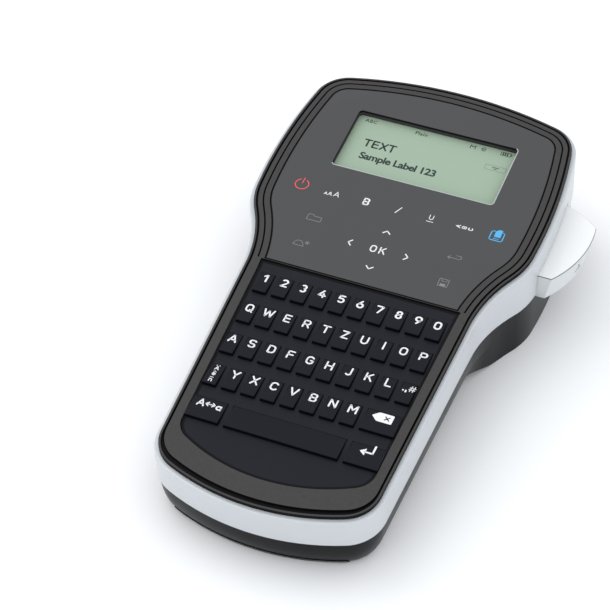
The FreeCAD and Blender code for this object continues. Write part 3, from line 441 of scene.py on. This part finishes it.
def lettered(sign, size=1.0, width=0.6):
    """The strokes of one letter or digit, in millimetres."""
    shapes = []
    for stroke in STROKES[sign]:
        if len(stroke) == 2:
            start, end = [[size * value for value in point] for point in stroke]
            shapes.append(bar(start, end, width))
        else:
            x, y, radius, start, sweep = stroke
            shapes.append(ring(size * radius, width, start, sweep, (size * x, size * y)))
    return shapes


def lettered_line(text, size, width, pitch):
    """Letters of one size side by side, centred."""
    shapes = []
    for place, sign in enumerate(text):
        step = Vector(((place - (len(text) - 1) / 2) * pitch, 0, 0))
        for shape in lettered(sign, size, width):
            bmesh.ops.translate(shape, vec=step, verts=shape.verts)
            shapes.append(shape)
    return shapes


# A capital's height in the built-in font's own size, and how low a word without tails may reach,
# as a share of the height asked for.
CAPITAL_HEIGHT = 0.69
TAIL_START = -0.1


def written(text, height, bold, spacing):
    """A flat mesh of a word or sign, centred on its own middle, with capitals of the given height."""
    curve = bpy.data.curves.new("word", "FONT")
    curve.body = text
    curve.offset = bold
    curve.space_character = spacing
    curve.resolution_u = 4
    holder = bpy.data.objects.new("word", curve)
    bpy.context.collection.objects.link(holder)
    bpy.context.view_layer.update()
    mesh = bpy.data.meshes.new_from_object(holder.evaluated_get(bpy.context.evaluated_depsgraph_get()))
    bpy.data.objects.remove(holder)
    bpy.data.curves.remove(curve)
    bm = bmesh.new()
    bm.from_mesh(mesh)
    bpy.data.meshes.remove(mesh)
    bmesh.ops.scale(bm, vec=Vector((1, 1, 1)) * height / CAPITAL_HEIGHT, verts=bm.verts)
    across, upwards = [(min(v.co[i] for v in bm.verts), max(v.co[i] for v in bm.verts)) for i in (0, 1)]
    on_line = upwards[0] > TAIL_START * height
    middle = Vector((sum(across) / 2, height / 2 if on_line else sum(upwards) / 2, 0))
    bmesh.ops.translate(bm, vec=-middle, verts=bm.verts)
    return bm


PRINT_THICKNESS = 0.02


def thickened(sheet, rise, material_index):
    """Give flat shapes a thickness and a finish."""
    spread = bmesh.ops.extrude_face_region(sheet, geom=sheet.faces[:])
    lifted = [item for item in spread["geom"] if isinstance(item, bmesh.types.BMVert)]
    bmesh.ops.translate(sheet, vec=rise, verts=lifted)
    bmesh.ops.recalc_face_normals(sheet, faces=sheet.faces)
    for face in sheet.faces:
        face.material_index = material_index


def joined(bm, added):
    """Add one bmesh to another, and free it."""
    mesh = bpy.data.meshes.new("joined")
    added.to_mesh(mesh)
    added.free()
    bm.from_mesh(mesh)
    bpy.data.meshes.remove(mesh)


def printed(bm, shapes, place, material_index, layer=0):
    """Lay flat shapes on a surface as a thin layer of print."""
    for shape in shapes if isinstance(shapes, list) else [shapes]:
        thickened(shape, Vector((0, 0, PRINT_THICKNESS * (1 + layer))), material_index)
        shape.transform(place @ Matrix.Scale(MM, 4))
        joined(bm, shape)


# ------------------------------------------------------------------ casing

# The grip's underside is drawn in towards a core, below TAPER_TOP and as far as GRIP_FAR. All in millimetres.
CORE_X, CORE_NEAR, CORE_FAR = 30, -78, 60
CORE_CLEARANCE = 11.0
TAPER_LEVELS = (-17.5, -20.0, -22.0, -23.6, -24.8, -25.7, -26.4)
TAPER_TOP, TAPER_DEPTH = -16.5, 11.5
GRIP_FAR, GRIP_FADE = 8.0, 26.0


def taper(bm, most):
    """Draw the grip's underside in towards its middle, more and more the lower it lies."""
    for level in TAPER_LEVELS:
        bmesh.ops.bisect_plane(bm, geom=bm.verts[:] + bm.edges[:] + bm.faces[:], dist=1e-7,
                               plane_co=DECK @ (Vector((0, 0, level)) * MM), plane_no=deck_normal)
    for vertex in bm.verts:
        spot = TO_DECK @ vertex.co / MM
        fall = min(1.0, max(0.0, (TAPER_TOP - spot.z) / TAPER_DEPTH))
        grip = min(1.0, max(0.0, (GRIP_FAR - spot.y) / GRIP_FADE))
        core = Vector((min(CORE_X, max(-CORE_X, spot.x)), min(CORE_FAR, max(CORE_NEAR, spot.y)), spot.z))
        reach = spot - core
        curve = 1 - math.sqrt(max(0.0, 1 - fall ** 2))
        inset = most * curve * grip * min(1.0, reach.length / CORE_CLEARANCE)
        if reach.length > 0.01:
            spot -= reach.normalized() * inset
            vertex.co = DECK @ (spot * MM)
    return bm


def case_piece(node, most, radius):
    """A part of the black case with its drawn-in underside."""
    bm = taper(copied(node), most)
    rounded(bm, sharp_edges(bm, least=48), radius, segments=2)
    piece(node, bm, [case_plastic])


# The battery cover is drawn in less, so it stands out as a lip.
case_piece("base_case", most=4.6, radius=0.25)
case_piece("battery_cover", most=3.6, radius=0.4)
restyled("cassette_cover", case_plastic, radius=0.3)
restyled("side_band", band_paint, radius=0.45)


def flat_top(bm):
    """The faces of a flat piece that look straight up from the deck."""
    bm.normal_update()
    up = [face for face in bm.faces if face.normal.dot(deck_normal) > FLAT]
    top = max((TO_DECK @ face.calc_center_median()).z for face in up)
    return [face for face in up if (TO_DECK @ face.calc_center_median()).z > top - LEVEL_TOLERANCE]


def walls_painted_shade(bm):
    """Give every face but the flat ones the second finish, a painted shade on the walls."""
    bm.normal_update()
    for face in bm.faces:
        face.material_index = 0 if face.normal.dot(deck_normal) > FLAT else 1


def outer_border(flat):
    """The edges round the outside of some faces, without those round their openings."""
    flat = set(flat)
    border = {edge for face in flat for edge in face.edges
              if sum(neighbour in flat for neighbour in edge.link_faces) == 1}
    walk = [max(border, key=lambda edge: edge.verts[0].co.x)]
    found = set(walk)
    while walk:
        for vertex in walk.pop().verts:
            for near in vertex.link_edges:
                if near in border and near not in found:
                    found.add(near)
                    walk.append(near)
    return found


# The key block's half width, the span of its nearest row, and the width of the painted shadow line along the
# mat's gap; millimetres.
KEYS_HALF_WIDTH = 34.3
NEAR_ROW = (-75, -60)
MAT_GAP_SHADOW = 1.05


def in_key_notch(edge):
    """Whether a border edge of the mat runs round the notch of a key that reaches past the mat."""
    middle = TO_DECK @ ((edge.verts[0].co + edge.verts[1].co) / 2) / MM
    return abs(middle.x) < KEYS_HALF_WIDTH and NEAR_ROW[0] < middle.y < NEAR_ROW[1]


def painted_gap_shadow(bm, width):
    """Lay a thin dark line along the mat's outer border, a painted shadow of the gap that it sits in."""
    border = [edge for edge in outer_border(flat_top(bm)) if not in_key_notch(edge)]
    sheet = bmesh.new()
    corner = {vertex: None for edge in border for vertex in edge.verts}
    for vertex in corner:
        corner[vertex] = sheet.verts.new(vertex.co)
    for edge in border:
        sheet.edges.new([corner[vertex] for vertex in edge.verts])

    # Bridge the notch on each side, so that the border is closed.
    loose = [vertex for vertex in sheet.verts if len(vertex.link_edges) == 1]
    for side in (-1, 1):
        sheet.edges.new([vertex for vertex in loose if vertex.co.x * side > 0])

    # One face over all of it, then only the strip along its border.
    bmesh.ops.contextual_create(sheet, geom=sheet.edges[:])
    sheet.normal_update()
    if sheet.faces[:][0].normal.dot(deck_normal) < 0:
        bmesh.ops.reverse_faces(sheet, faces=sheet.faces[:])
    inside = sheet.faces[:]
    bmesh.ops.inset_region(sheet, faces=inside, thickness=width * MM, use_boundary=True, use_even_offset=True)
    bmesh.ops.delete(sheet, geom=inside, context="FACES_ONLY")
    thickened(sheet, deck_normal * PRINT_THICKNESS * MM, 1)
    joined(bm, sheet)


mat = copied("keypad_mat")
walls_painted_shade(mat)
painted_gap_shadow(mat, MAT_GAP_SHADOW)
piece("keypad_mat", mat, [mat_rubber, groove_painted_shade])

# The bezel's grooves, walls and floors get a painted shade, darker than its face.
GROOVE_BOTTOM, GROOVE_TOP = -1.3 * MM, -0.05 * MM
bezel = copied("top_bezel")
for face in bezel.faces:
    level = (TO_DECK @ face.calc_center_median()).z
    face.material_index = 1 if GROOVE_BOTTOM < level < GROOVE_TOP else 0
rounded(bezel, sharp_edges(bezel), radius=0.14, segments=2)
piece("top_bezel", bezel, [bezel_plastic, groove_painted_shade])

# ------------------------------------------------------------------ control panel with its touch signs

# Places in the list of the panel's finishes.
GAP_PAINTED_SHADE, WHITE, DIM, RED, BLUE, RIM_PAINTED_HIGHLIGHT = 1, 2, 3, 4, 5, 6

WINDOW_HALF, WINDOW_NEAR, WINDOW_FAR = 33, 49, 79
RIM_WIDTH = 0.32

# Middles of the touch signs, in millimetres on the deck.
POWER_AT = (-36.8, 36.2)
LETTER_SIZE_AT = (-24.4, 35.7)
BOLD_AT = (-11.9, 35.8)
ITALIC_AT = (0.3, 35.8)
UNDERLINE_AT, UNDERLINE_BAR_AT = (12.5, 36.4), (12.5, 34.3)
DIRECTION_AT = (25.0, 35.7)
PRINT_AT = (37.0, 35.9)
CONFIRM_AT = (0.1, 15.6)
ARROWS = ((0.2, 24.4, 0), (-10.4, 15.6, 90), (10.6, 15.6, -90), (0.2, 6.7, 180))
FOLDER_AT = (-26.4, 22.2)
SHAPES_AT, STAR_AT = (-26.3, 9.3), (-24.3, 10.2)
BACK_AT = (26.5, 21.2)
MEMORY_AT = (26.7, 8.9)
FINE, FINER = 0.24, 0.2

panel = copied("control_panel")
lines = bmesh.ops.inset_region(panel, faces=flat_top(panel), thickness=RIM_WIDTH * MM, use_boundary=True,
                               use_even_offset=True)["faces"]
walls_painted_shade(panel)

# The window's near and right borders get a painted highlight, its other two stay plain, and the film's outer
# border gets a painted shadow line.
for face in lines:
    middle = TO_DECK @ face.calc_center_median() / MM
    beside = WINDOW_HALF - 3 < middle.x < WINDOW_HALF and WINDOW_NEAR < middle.y < WINDOW_FAR
    below = abs(middle.y - WINDOW_NEAR) < 1 and abs(middle.x) < WINDOW_HALF
    by_window = abs(middle.x) < WINDOW_HALF and WINDOW_NEAR - 3 < middle.y < WINDOW_FAR + 2
    face.material_index = RIM_PAINTED_HIGHLIGHT if beside or below else 0 if by_window else GAP_PAINTED_SHADE


def on_panel(place, turn=0.0):
    """A place on the panel's film, for a flat sign."""
    return on_deck(*place, PANEL_TOP, turn)


def beside_place(place, x, y):
    """A place moved by a step."""
    return place[0] + x, place[1] + y


printed(panel, [ring(2.45, 0.34, 115, 310), bar((0, 0.6), (0, 3.1), 0.34)], on_panel(POWER_AT), RED)
for size, step, rise in ((0.36, -2.7, -0.75), (0.5, -1.1, -0.5), (0.72, 1.3, -0.1)):
    printed(panel, lettered("A", size, 0.3), on_panel(beside_place(LETTER_SIZE_AT, step, rise)), WHITE)
printed(panel, lettered("B", 0.9, 0.6), on_panel(BOLD_AT), WHITE)
printed(panel, bar((-0.75, -1.5), (0.75, 1.5), 0.36), on_panel(ITALIC_AT), WHITE)
printed(panel, lettered("U", 0.62, 0.28), on_panel(UNDERLINE_AT), WHITE)
printed(panel, bar((-1.2, 0), (1.2, 0), 0.26), on_panel(UNDERLINE_BAR_AT), WHITE)
for letter, step in (("A", -2.3), ("B", 0.0), ("C", 2.3)):
    printed(panel, lettered(letter, 0.46, 0.34), on_panel(beside_place(DIRECTION_AT, step, 0), 90), WHITE)
printed(panel, lettered_line("OK", 0.86, 0.5, 3.3), on_panel(CONFIRM_AT), WHITE)
for x, y, turn in ARROWS:
    printed(panel, polyline([(-1.25, -0.6), (0, 0.6), (1.25, -0.6)], 0.46), on_panel((x, y), turn), WHITE)

# Print key: a page that leaves a tray.
tray = [(-1.3, 1.9), (-2.0, 1.9), (-2.35, 1.5), (-2.35, -2.0), (-2.0, -2.35), (2.0, -2.35), (2.35, -2.0),
        (2.35, 1.5), (2.0, 1.9), (1.7, 1.9)]
page = [(-0.95, -0.7), (1.35, -0.7), (1.35, 2.9), (0.0, 2.9), (-0.95, 1.95)]
printed(panel, polyline(tray, 0.4), on_panel(PRINT_AT), BLUE)
printed(panel, patch(page, 0.12), on_panel(PRINT_AT), BLUE)
printed(panel, bar((-0.9, -1.5), (0.9, -1.5), 0.3), on_panel(PRINT_AT), BLUE)

# Folder, shape with a star, back arrow and memory sign, printed faintly.
folder = [(-2.6, -1.3), (-2.6, 1.0), (-2.2, 1.4), (-0.7, 1.4), (-0.3, 0.8), (2.6, 0.8), (2.6, -1.3)]
printed(panel, polyline(folder, FINE, closed=True), on_panel(FOLDER_AT), DIM)
shape_sign = [(-2.8, -1.1), (-2.3, 0.4), (-1.6, 1.1), (-0.2, 1.1), (0.6, 0.2), (1.2, -1.1)]
printed(panel, polyline(shape_sign, FINE, closed=True), on_panel(SHAPES_AT), DIM)
for turn in (0, 60, 120):
    printed(panel, bar((-0.8, 0), (0.8, 0), FINE), on_panel(STAR_AT, turn), DIM)
arrow_head = polyline([(-1.6, 0.3), (-2.5, -0.4), (-1.6, -1.1)], FINE)
printed(panel, arrow_head + [bar((-2.5, -0.4), (1.6, -0.4), FINE)], on_panel(BACK_AT), DIM)
printed(panel, ring(0.75, FINE, -90, 180, (1.6, 0.35)), on_panel(BACK_AT), DIM)
printed(panel, bar((1.6, 1.1), (0.4, 1.1), FINE), on_panel(BACK_AT), DIM)
memory = [(-1.7, -1.7), (-1.7, 1.7), (1.7, 1.7), (1.7, -1.7)]
printed(panel, polyline(memory, FINE, closed=True), on_panel(MEMORY_AT), DIM)
printed(panel, polyline([(-0.9, 1.7), (-0.9, 0.6), (0.9, 0.6), (0.9, 1.7)], FINER), on_panel(MEMORY_AT), DIM)
printed(panel, patch([(-1.0, -1.7), (-1.0, -0.5), (1.0, -0.5), (1.0, -1.7)]), on_panel(MEMORY_AT), DIM)

piece("control_panel", panel,
      [panel_film, groove_painted_shade, print_white, print_dim, print_red, print_blue, window_painted_highlight_rim])

# ------------------------------------------------------------------ display with a generic message

# Places in the list of the display's finishes.
DARK, FAINT = 1, 2

# The status row, and the middles of its signs and of the framed sign under it, in millimetres.
STATUS_Y, STATUS_HEIGHT, STATUS_SPACING = 77.0, 1.6, 1.1
MEMO_AT, CLOCK_AT, CELL_AT, STRIP_AT = (14.0, 77.0), (18.2, 77.1), (26.6, 77.3), (25.2, 69.2)

display = copied("display_module")
rounded(display, sharp_edges(display), radius=0.1, segments=2)


def on_glass(x, y):
    """A place on the display's glass, for a flat sign."""
    return on_deck(x, y, GLASS_TOP)


def line_from(left, y, text, height, bold, spacing):
    """A line of display text that starts at its left end."""
    sign = written(text, height, bold, spacing)
    width = max(v.co.x for v in sign.verts) - min(v.co.x for v in sign.verts)
    printed(display, sign, on_glass(left + width / 2, y), DARK)


printed(display, lettered_line("TEXT", 1.0, 0.72, 3.15), on_glass(-18.2, 66.0), DARK)
line_from(-23.6, 58.9, "Sample Label 123", 3.15, 0.028, 0.93)
line_from(-28.0, STATUS_Y, "ABC", STATUS_HEIGHT, 0.01, STATUS_SPACING)
line_from(-8.2, STATUS_Y, "Plain", STATUS_HEIGHT, 0.016, STATUS_SPACING)
memo = [(-0.9, -0.8), (-0.9, 0.8), (0, 0), (0.9, 0.8), (0.9, -0.8)]
printed(display, polyline(memo, 0.3), on_glass(*MEMO_AT), DARK)
printed(display, [ring(0.8, 0.3, 40, 280), bar((-0.3, 0), (0.8, 0), 0.3)], on_glass(*CLOCK_AT), DARK)
cell = [(-1.9, -0.8), (-1.9, 0.8), (1.7, 0.8), (1.7, -0.8)]
printed(display, polyline(cell, 0.26, closed=True), on_glass(*CELL_AT), DARK)
printed(display, bar((2.1, -0.35), (2.1, 0.35), 0.3), on_glass(*CELL_AT), DARK)
for step in (-1.1, -0.3, 0.5):
    printed(display, bar((step, -0.4), (step, 0.4), 0.5), on_glass(*CELL_AT), DARK)
strip = [(-3.6, -1.2), (-3.9, -0.9), (-3.9, 0.9), (-3.6, 1.2), (3.6, 1.2), (3.9, 0.9), (3.9, -0.9),
         (3.6, -1.2)]
printed(display, polyline(strip, 0.18, closed=True), on_glass(*STRIP_AT), FAINT)
printed(display, [bar((-1.2, 0.35), (1.2, 0.35), 0.3), bar((-0.5, -0.35), (0.5, -0.35), 0.3)],
        on_glass(*STRIP_AT), DARK)
piece("display_module", display, [glass_green, ink_dark, ink_faint], name="display_visible")

# ------------------------------------------------------------------ keys with their legends

NUMERALS = dict(zip(("one", "two", "three", "four", "five", "six", "seven", "eight", "nine", "zero"),
                    "1234567890"))
LEGEND_FORWARD = 2.15

# Places in the list of a key's finishes; the flanks get a painted shade.
KEY_TOP, KEY_PRINT, KEY_SHADED_SIDE = 0, 1, 2
TOP_FACING = 0.5


def key_face(node):
    """Where a key's sloping top lies: a frame at its middle, on the surface."""
    low, high = deck_box(node)
    far_top = max((TO_DECK @ vertex.co).z for vertex in frame["nodes"][node].data.vertices
                  if (TO_DECK @ vertex.co).y > high.y - 0.5 * MM)
    middle = Vector(((low.x + high.x) / 2, (low.y + high.y) / 2, (high.z + far_top) / 2))
    slope = math.atan2(far_top - high.z, high.y - low.y)
    return DECK @ Matrix.Translation(middle) @ Matrix.Rotation(slope, 4, "X")


def shifted(place, x, y):
    """A place moved along its own flat surface, in millimetres."""
    return place @ Matrix.Translation(Vector((x, y, 0)) * MM)


def key_legend(bm, name, place):
    """The white print on one key."""
    mark = shifted(place, 0, LEGEND_FORWARD)
    if name in NUMERALS:
        printed(bm, lettered(NUMERALS[name], 1.0, 0.68), mark, KEY_PRINT)
    elif len(name) == 1:
        printed(bm, lettered(name.upper(), 1.0, 0.62), mark, KEY_PRINT)
    elif name == "symbols":
        for x, tail in ((-1.5, 0.0), (-0.5, -0.5)):
            printed(bm, bar((x, tail - 0.1), (x, 0), 0.6), shifted(mark, 0, -1.2), KEY_PRINT)
        hatch = [bar((-0.65, -1.2), (-0.25, 1.2), 0.34), bar((0.35, -1.2), (0.75, 1.2), 0.34),
                 bar((-1.0, -0.42), (0.95, -0.42), 0.34), bar((-0.85, 0.42), (1.1, 0.42), 0.34)]
        printed(bm, hatch, shifted(mark, 1.35, 0), KEY_PRINT)
    elif name == "accents":
        printed(bm, lettered("A", 0.48, 0.36), shifted(place, 0, 2.85), KEY_PRINT)
        printed(bm, [bar((-0.5, 0), (-0.49, 0), 0.36), bar((0.5, 0), (0.51, 0), 0.36)],
                shifted(place, 0, 4.05), KEY_PRINT)
        printed(bm, lettered("e", 0.58, 0.36), shifted(place, 0, 0.3), KEY_PRINT)
        hat = [(-0.45, -0.18), (0, 0.2), (0.45, -0.18)]
        printed(bm, polyline(hat, 0.28), shifted(place, 0, 1.15), KEY_PRINT)
        printed(bm, lettered("n", 0.58, 0.36), shifted(place, 0, -2.6), KEY_PRINT)
        printed(bm, bar((-0.5, 0), (0.5, 0), 0.28), shifted(place, 0, -1.65), KEY_PRINT)
    elif name == "case_shift":
        printed(bm, lettered("A", 0.88, 0.56), shifted(mark, -2.6, 0), KEY_PRINT)
        printed(bm, lettered("a", 0.88, 0.56), shifted(mark, 3.8, 0), KEY_PRINT)
        for side in (-1, 1):
            arrow = polyline([(side * 0.7, 0.8), (side * 1.7, 0), (side * 0.7, -0.8)], 0.42)
            printed(bm, arrow + [bar((0, 0), (side * 1.7, 0), 0.42)], shifted(mark, 0.7, 0), KEY_PRINT)
    elif name == "backspace":
        tag = [(-3.9, 0), (-1.8, 2.0), (3.4, 2.0), (3.4, -2.0), (-1.8, -2.0)]
        printed(bm, patch(tag, 0.35), mark, KEY_PRINT)
        cross = [bar((-0.75, -0.75), (0.75, 0.75), 0.42), bar((-0.75, 0.75), (0.75, -0.75), 0.42)]
        printed(bm, cross, shifted(mark, 1.4, 0), KEY_TOP, layer=1)
    elif name == "enter":
        printed(bm, polyline([(2.0, 2.7), (2.0, -0.6), (-0.8, -0.6)], 0.7), mark, KEY_PRINT)
        printed(bm, patch([(-2.5, -0.6), (-0.5, 0.95), (-0.5, -2.15)], 0.15), mark, KEY_PRINT)


for node in [name for name in frame["nodes"] if name.startswith("key_")]:
    cap = copied(node)
    rounded(cap, sharp_edges(cap, least=20), radius=0.35, segments=3)
    cap.normal_update()
    # Faces that don't look up get the darker flank finish, a painted shade.
    for face in cap.faces:
        face.material_index = KEY_TOP if face.normal.dot(deck_normal) > TOP_FACING else KEY_SHADED_SIDE
    key_legend(cap, node[len("key_"):], key_face(node))
    piece(node, cap, [key_rubber, print_white, key_painted_shade_flank])

# ------------------------------------------------------------------ cutter lever

# Places in the list of the lever's finishes, and how much of a face's normal points up where they change; the
# flanks get a painted shade.
LEVER_TOP, LEVER_MARK, LEVER_SHADED_SIDE = 0, 1, 2
SIDE_BELOW, TOP_ABOVE = 0.3, 0.95

# The finger pad's outward face: it faces right, is larger than a sliver, and lies outside the case.
PAD_FACING, PAD_LEAST_AREA, PAD_OUTSIDE, PAD_Y = 0.4, 4 * MM ** 2, 58 * MM, 46 * MM

lever = copied("cutter_lever")
lever_top = deck_box("cutter_lever")[1].z
top_edges = [edge for edge in sharp_edges(lever) if edge.calc_length() > LEVEL_TOLERANCE and
             all((TO_DECK @ vertex.co).z > lever_top - LEVEL_TOLERANCE for vertex in edge.verts)]
rounded(lever, top_edges, radius=0.26, segments=1)
lever.normal_update()
for face in lever.faces:
    rise = face.normal.dot(deck_normal)
    face.material_index = LEVER_TOP if rise >= TOP_ABOVE else LEVER_MARK if rise > SIDE_BELOW else LEVER_SHADED_SIDE
rounded(lever, sharp_edges(lever, least=50), radius=0.3, segments=2)


def pad_frame(lever_bm):
    """Where the outward face of the finger pad lies: its middle, looking straight at it."""
    walls = [face for face in lever_bm.faces
             if face.normal.x > PAD_FACING and face.calc_area() > PAD_LEAST_AREA
             and (TO_DECK @ face.calc_center_median()).x > PAD_OUTSIDE]
    best = min(walls, key=lambda face: abs((TO_DECK @ face.calc_center_median()).y - PAD_Y))
    return best.calc_center_median(), best.normal.copy()


# Scissors: two finger rings and two crossed blades.
lever.normal_update()
mark_middle, mark_normal = pad_frame(lever)
upwards = (deck_normal - mark_normal * deck_normal.dot(mark_normal)).normalized()
across = upwards.cross(mark_normal)
mark_place = Matrix((across, upwards, mark_normal)).transposed().to_4x4()
mark_place.translation = mark_middle
for side in (-1, 1):
    printed(lever, [ring(0.75, 0.3, 0, 360, (side * 1.0, -1.5)),
                    bar((side * 0.6, -0.9), (-side * 1.1, 2.2), 0.36)], mark_place, LEVER_MARK)
piece("cutter_lever", lever, [lever_plastic, mark_grey, lever_painted_shade_flank])

# ------------------------------------------------------------------ parts under the covers

for node, material in (("circuit_board", board_green), ("drive_motor", can_steel), ("print_head", sink_metal),
                       ("tape_cassette", cassette_grey), ("battery_pack", pack_wrap),
                       ("platen_roller", roller_rubber), ("idler_gear", acetal), ("motor_pinion", brass),
                       ("cutter_blade", blade_steel)):
    restyled(node, material, radius=0.2)

# ------------------------------------------------------------------ floor, light and camera

# The floor lies just under the resting face, because two faces in one plane would flicker.
FLOOR_HALF, FLOOR_Z = 6.0, -0.0002
floor_mesh = bmesh.new()
bmesh.ops.create_grid(floor_mesh, x_segments=1, y_segments=1, size=FLOOR_HALF)
floor_data = bpy.data.meshes.new("floor")
floor_mesh.to_mesh(floor_data)
floor_mesh.free()
floor_data.materials.append(finish("floor_paper", (0.94, 0.945, 0.955), 0.9, grain=300, bump=0.01, drift=0.0,
                                   wear=0.0, Specular_IOR_Level=0.1))
floor_data.transform(Matrix.Translation((0, 0, FLOOR_Z)))
floor = bpy.data.objects.new("floor", floor_data)
bpy.context.collection.objects.link(floor)


def soft_light(name, location, aim, size, power, colour):
    """A square area light that looks at a point."""
    data = bpy.data.lights.new(name, "AREA")
    data.shape = "SQUARE"
    data.size = size
    data.energy = power
    data.color = colour
    light = bpy.data.objects.new(name, data)
    light.location = location
    light.rotation_euler = (Vector(aim) - Vector(location)).to_track_quat("-Z", "Y").to_euler()
    bpy.context.collection.objects.link(light)


soft_light("key_light", (-1.2, 0.15, 1.5), aim=(0, 0, 0), size=1.5, power=7.5, colour=(1.0, 0.99, 0.97))

world = bpy.data.worlds.new("studio")
bpy.context.scene.world = world
world.use_nodes = True
world.node_tree.nodes["Background"].inputs["Color"].default_value = (0.965, 0.98, 1.0, 1)
world.node_tree.nodes["Background"].inputs["Strength"].default_value = 1.12
bpy.context.scene.view_settings.view_transform = "Standard"

camera_data = bpy.data.cameras.new("view_camera")
camera_data.lens = 127.7
camera_data.sensor_width = 36
camera = bpy.data.objects.new("view_camera", camera_data)
camera.location = (0.18721, -0.54066, 0.54546)
camera.rotation_euler = (math.radians(46.36), math.radians(0.03), math.radians(22.08))
bpy.context.collection.objects.link(camera)
bpy.context.scene.camera = camera
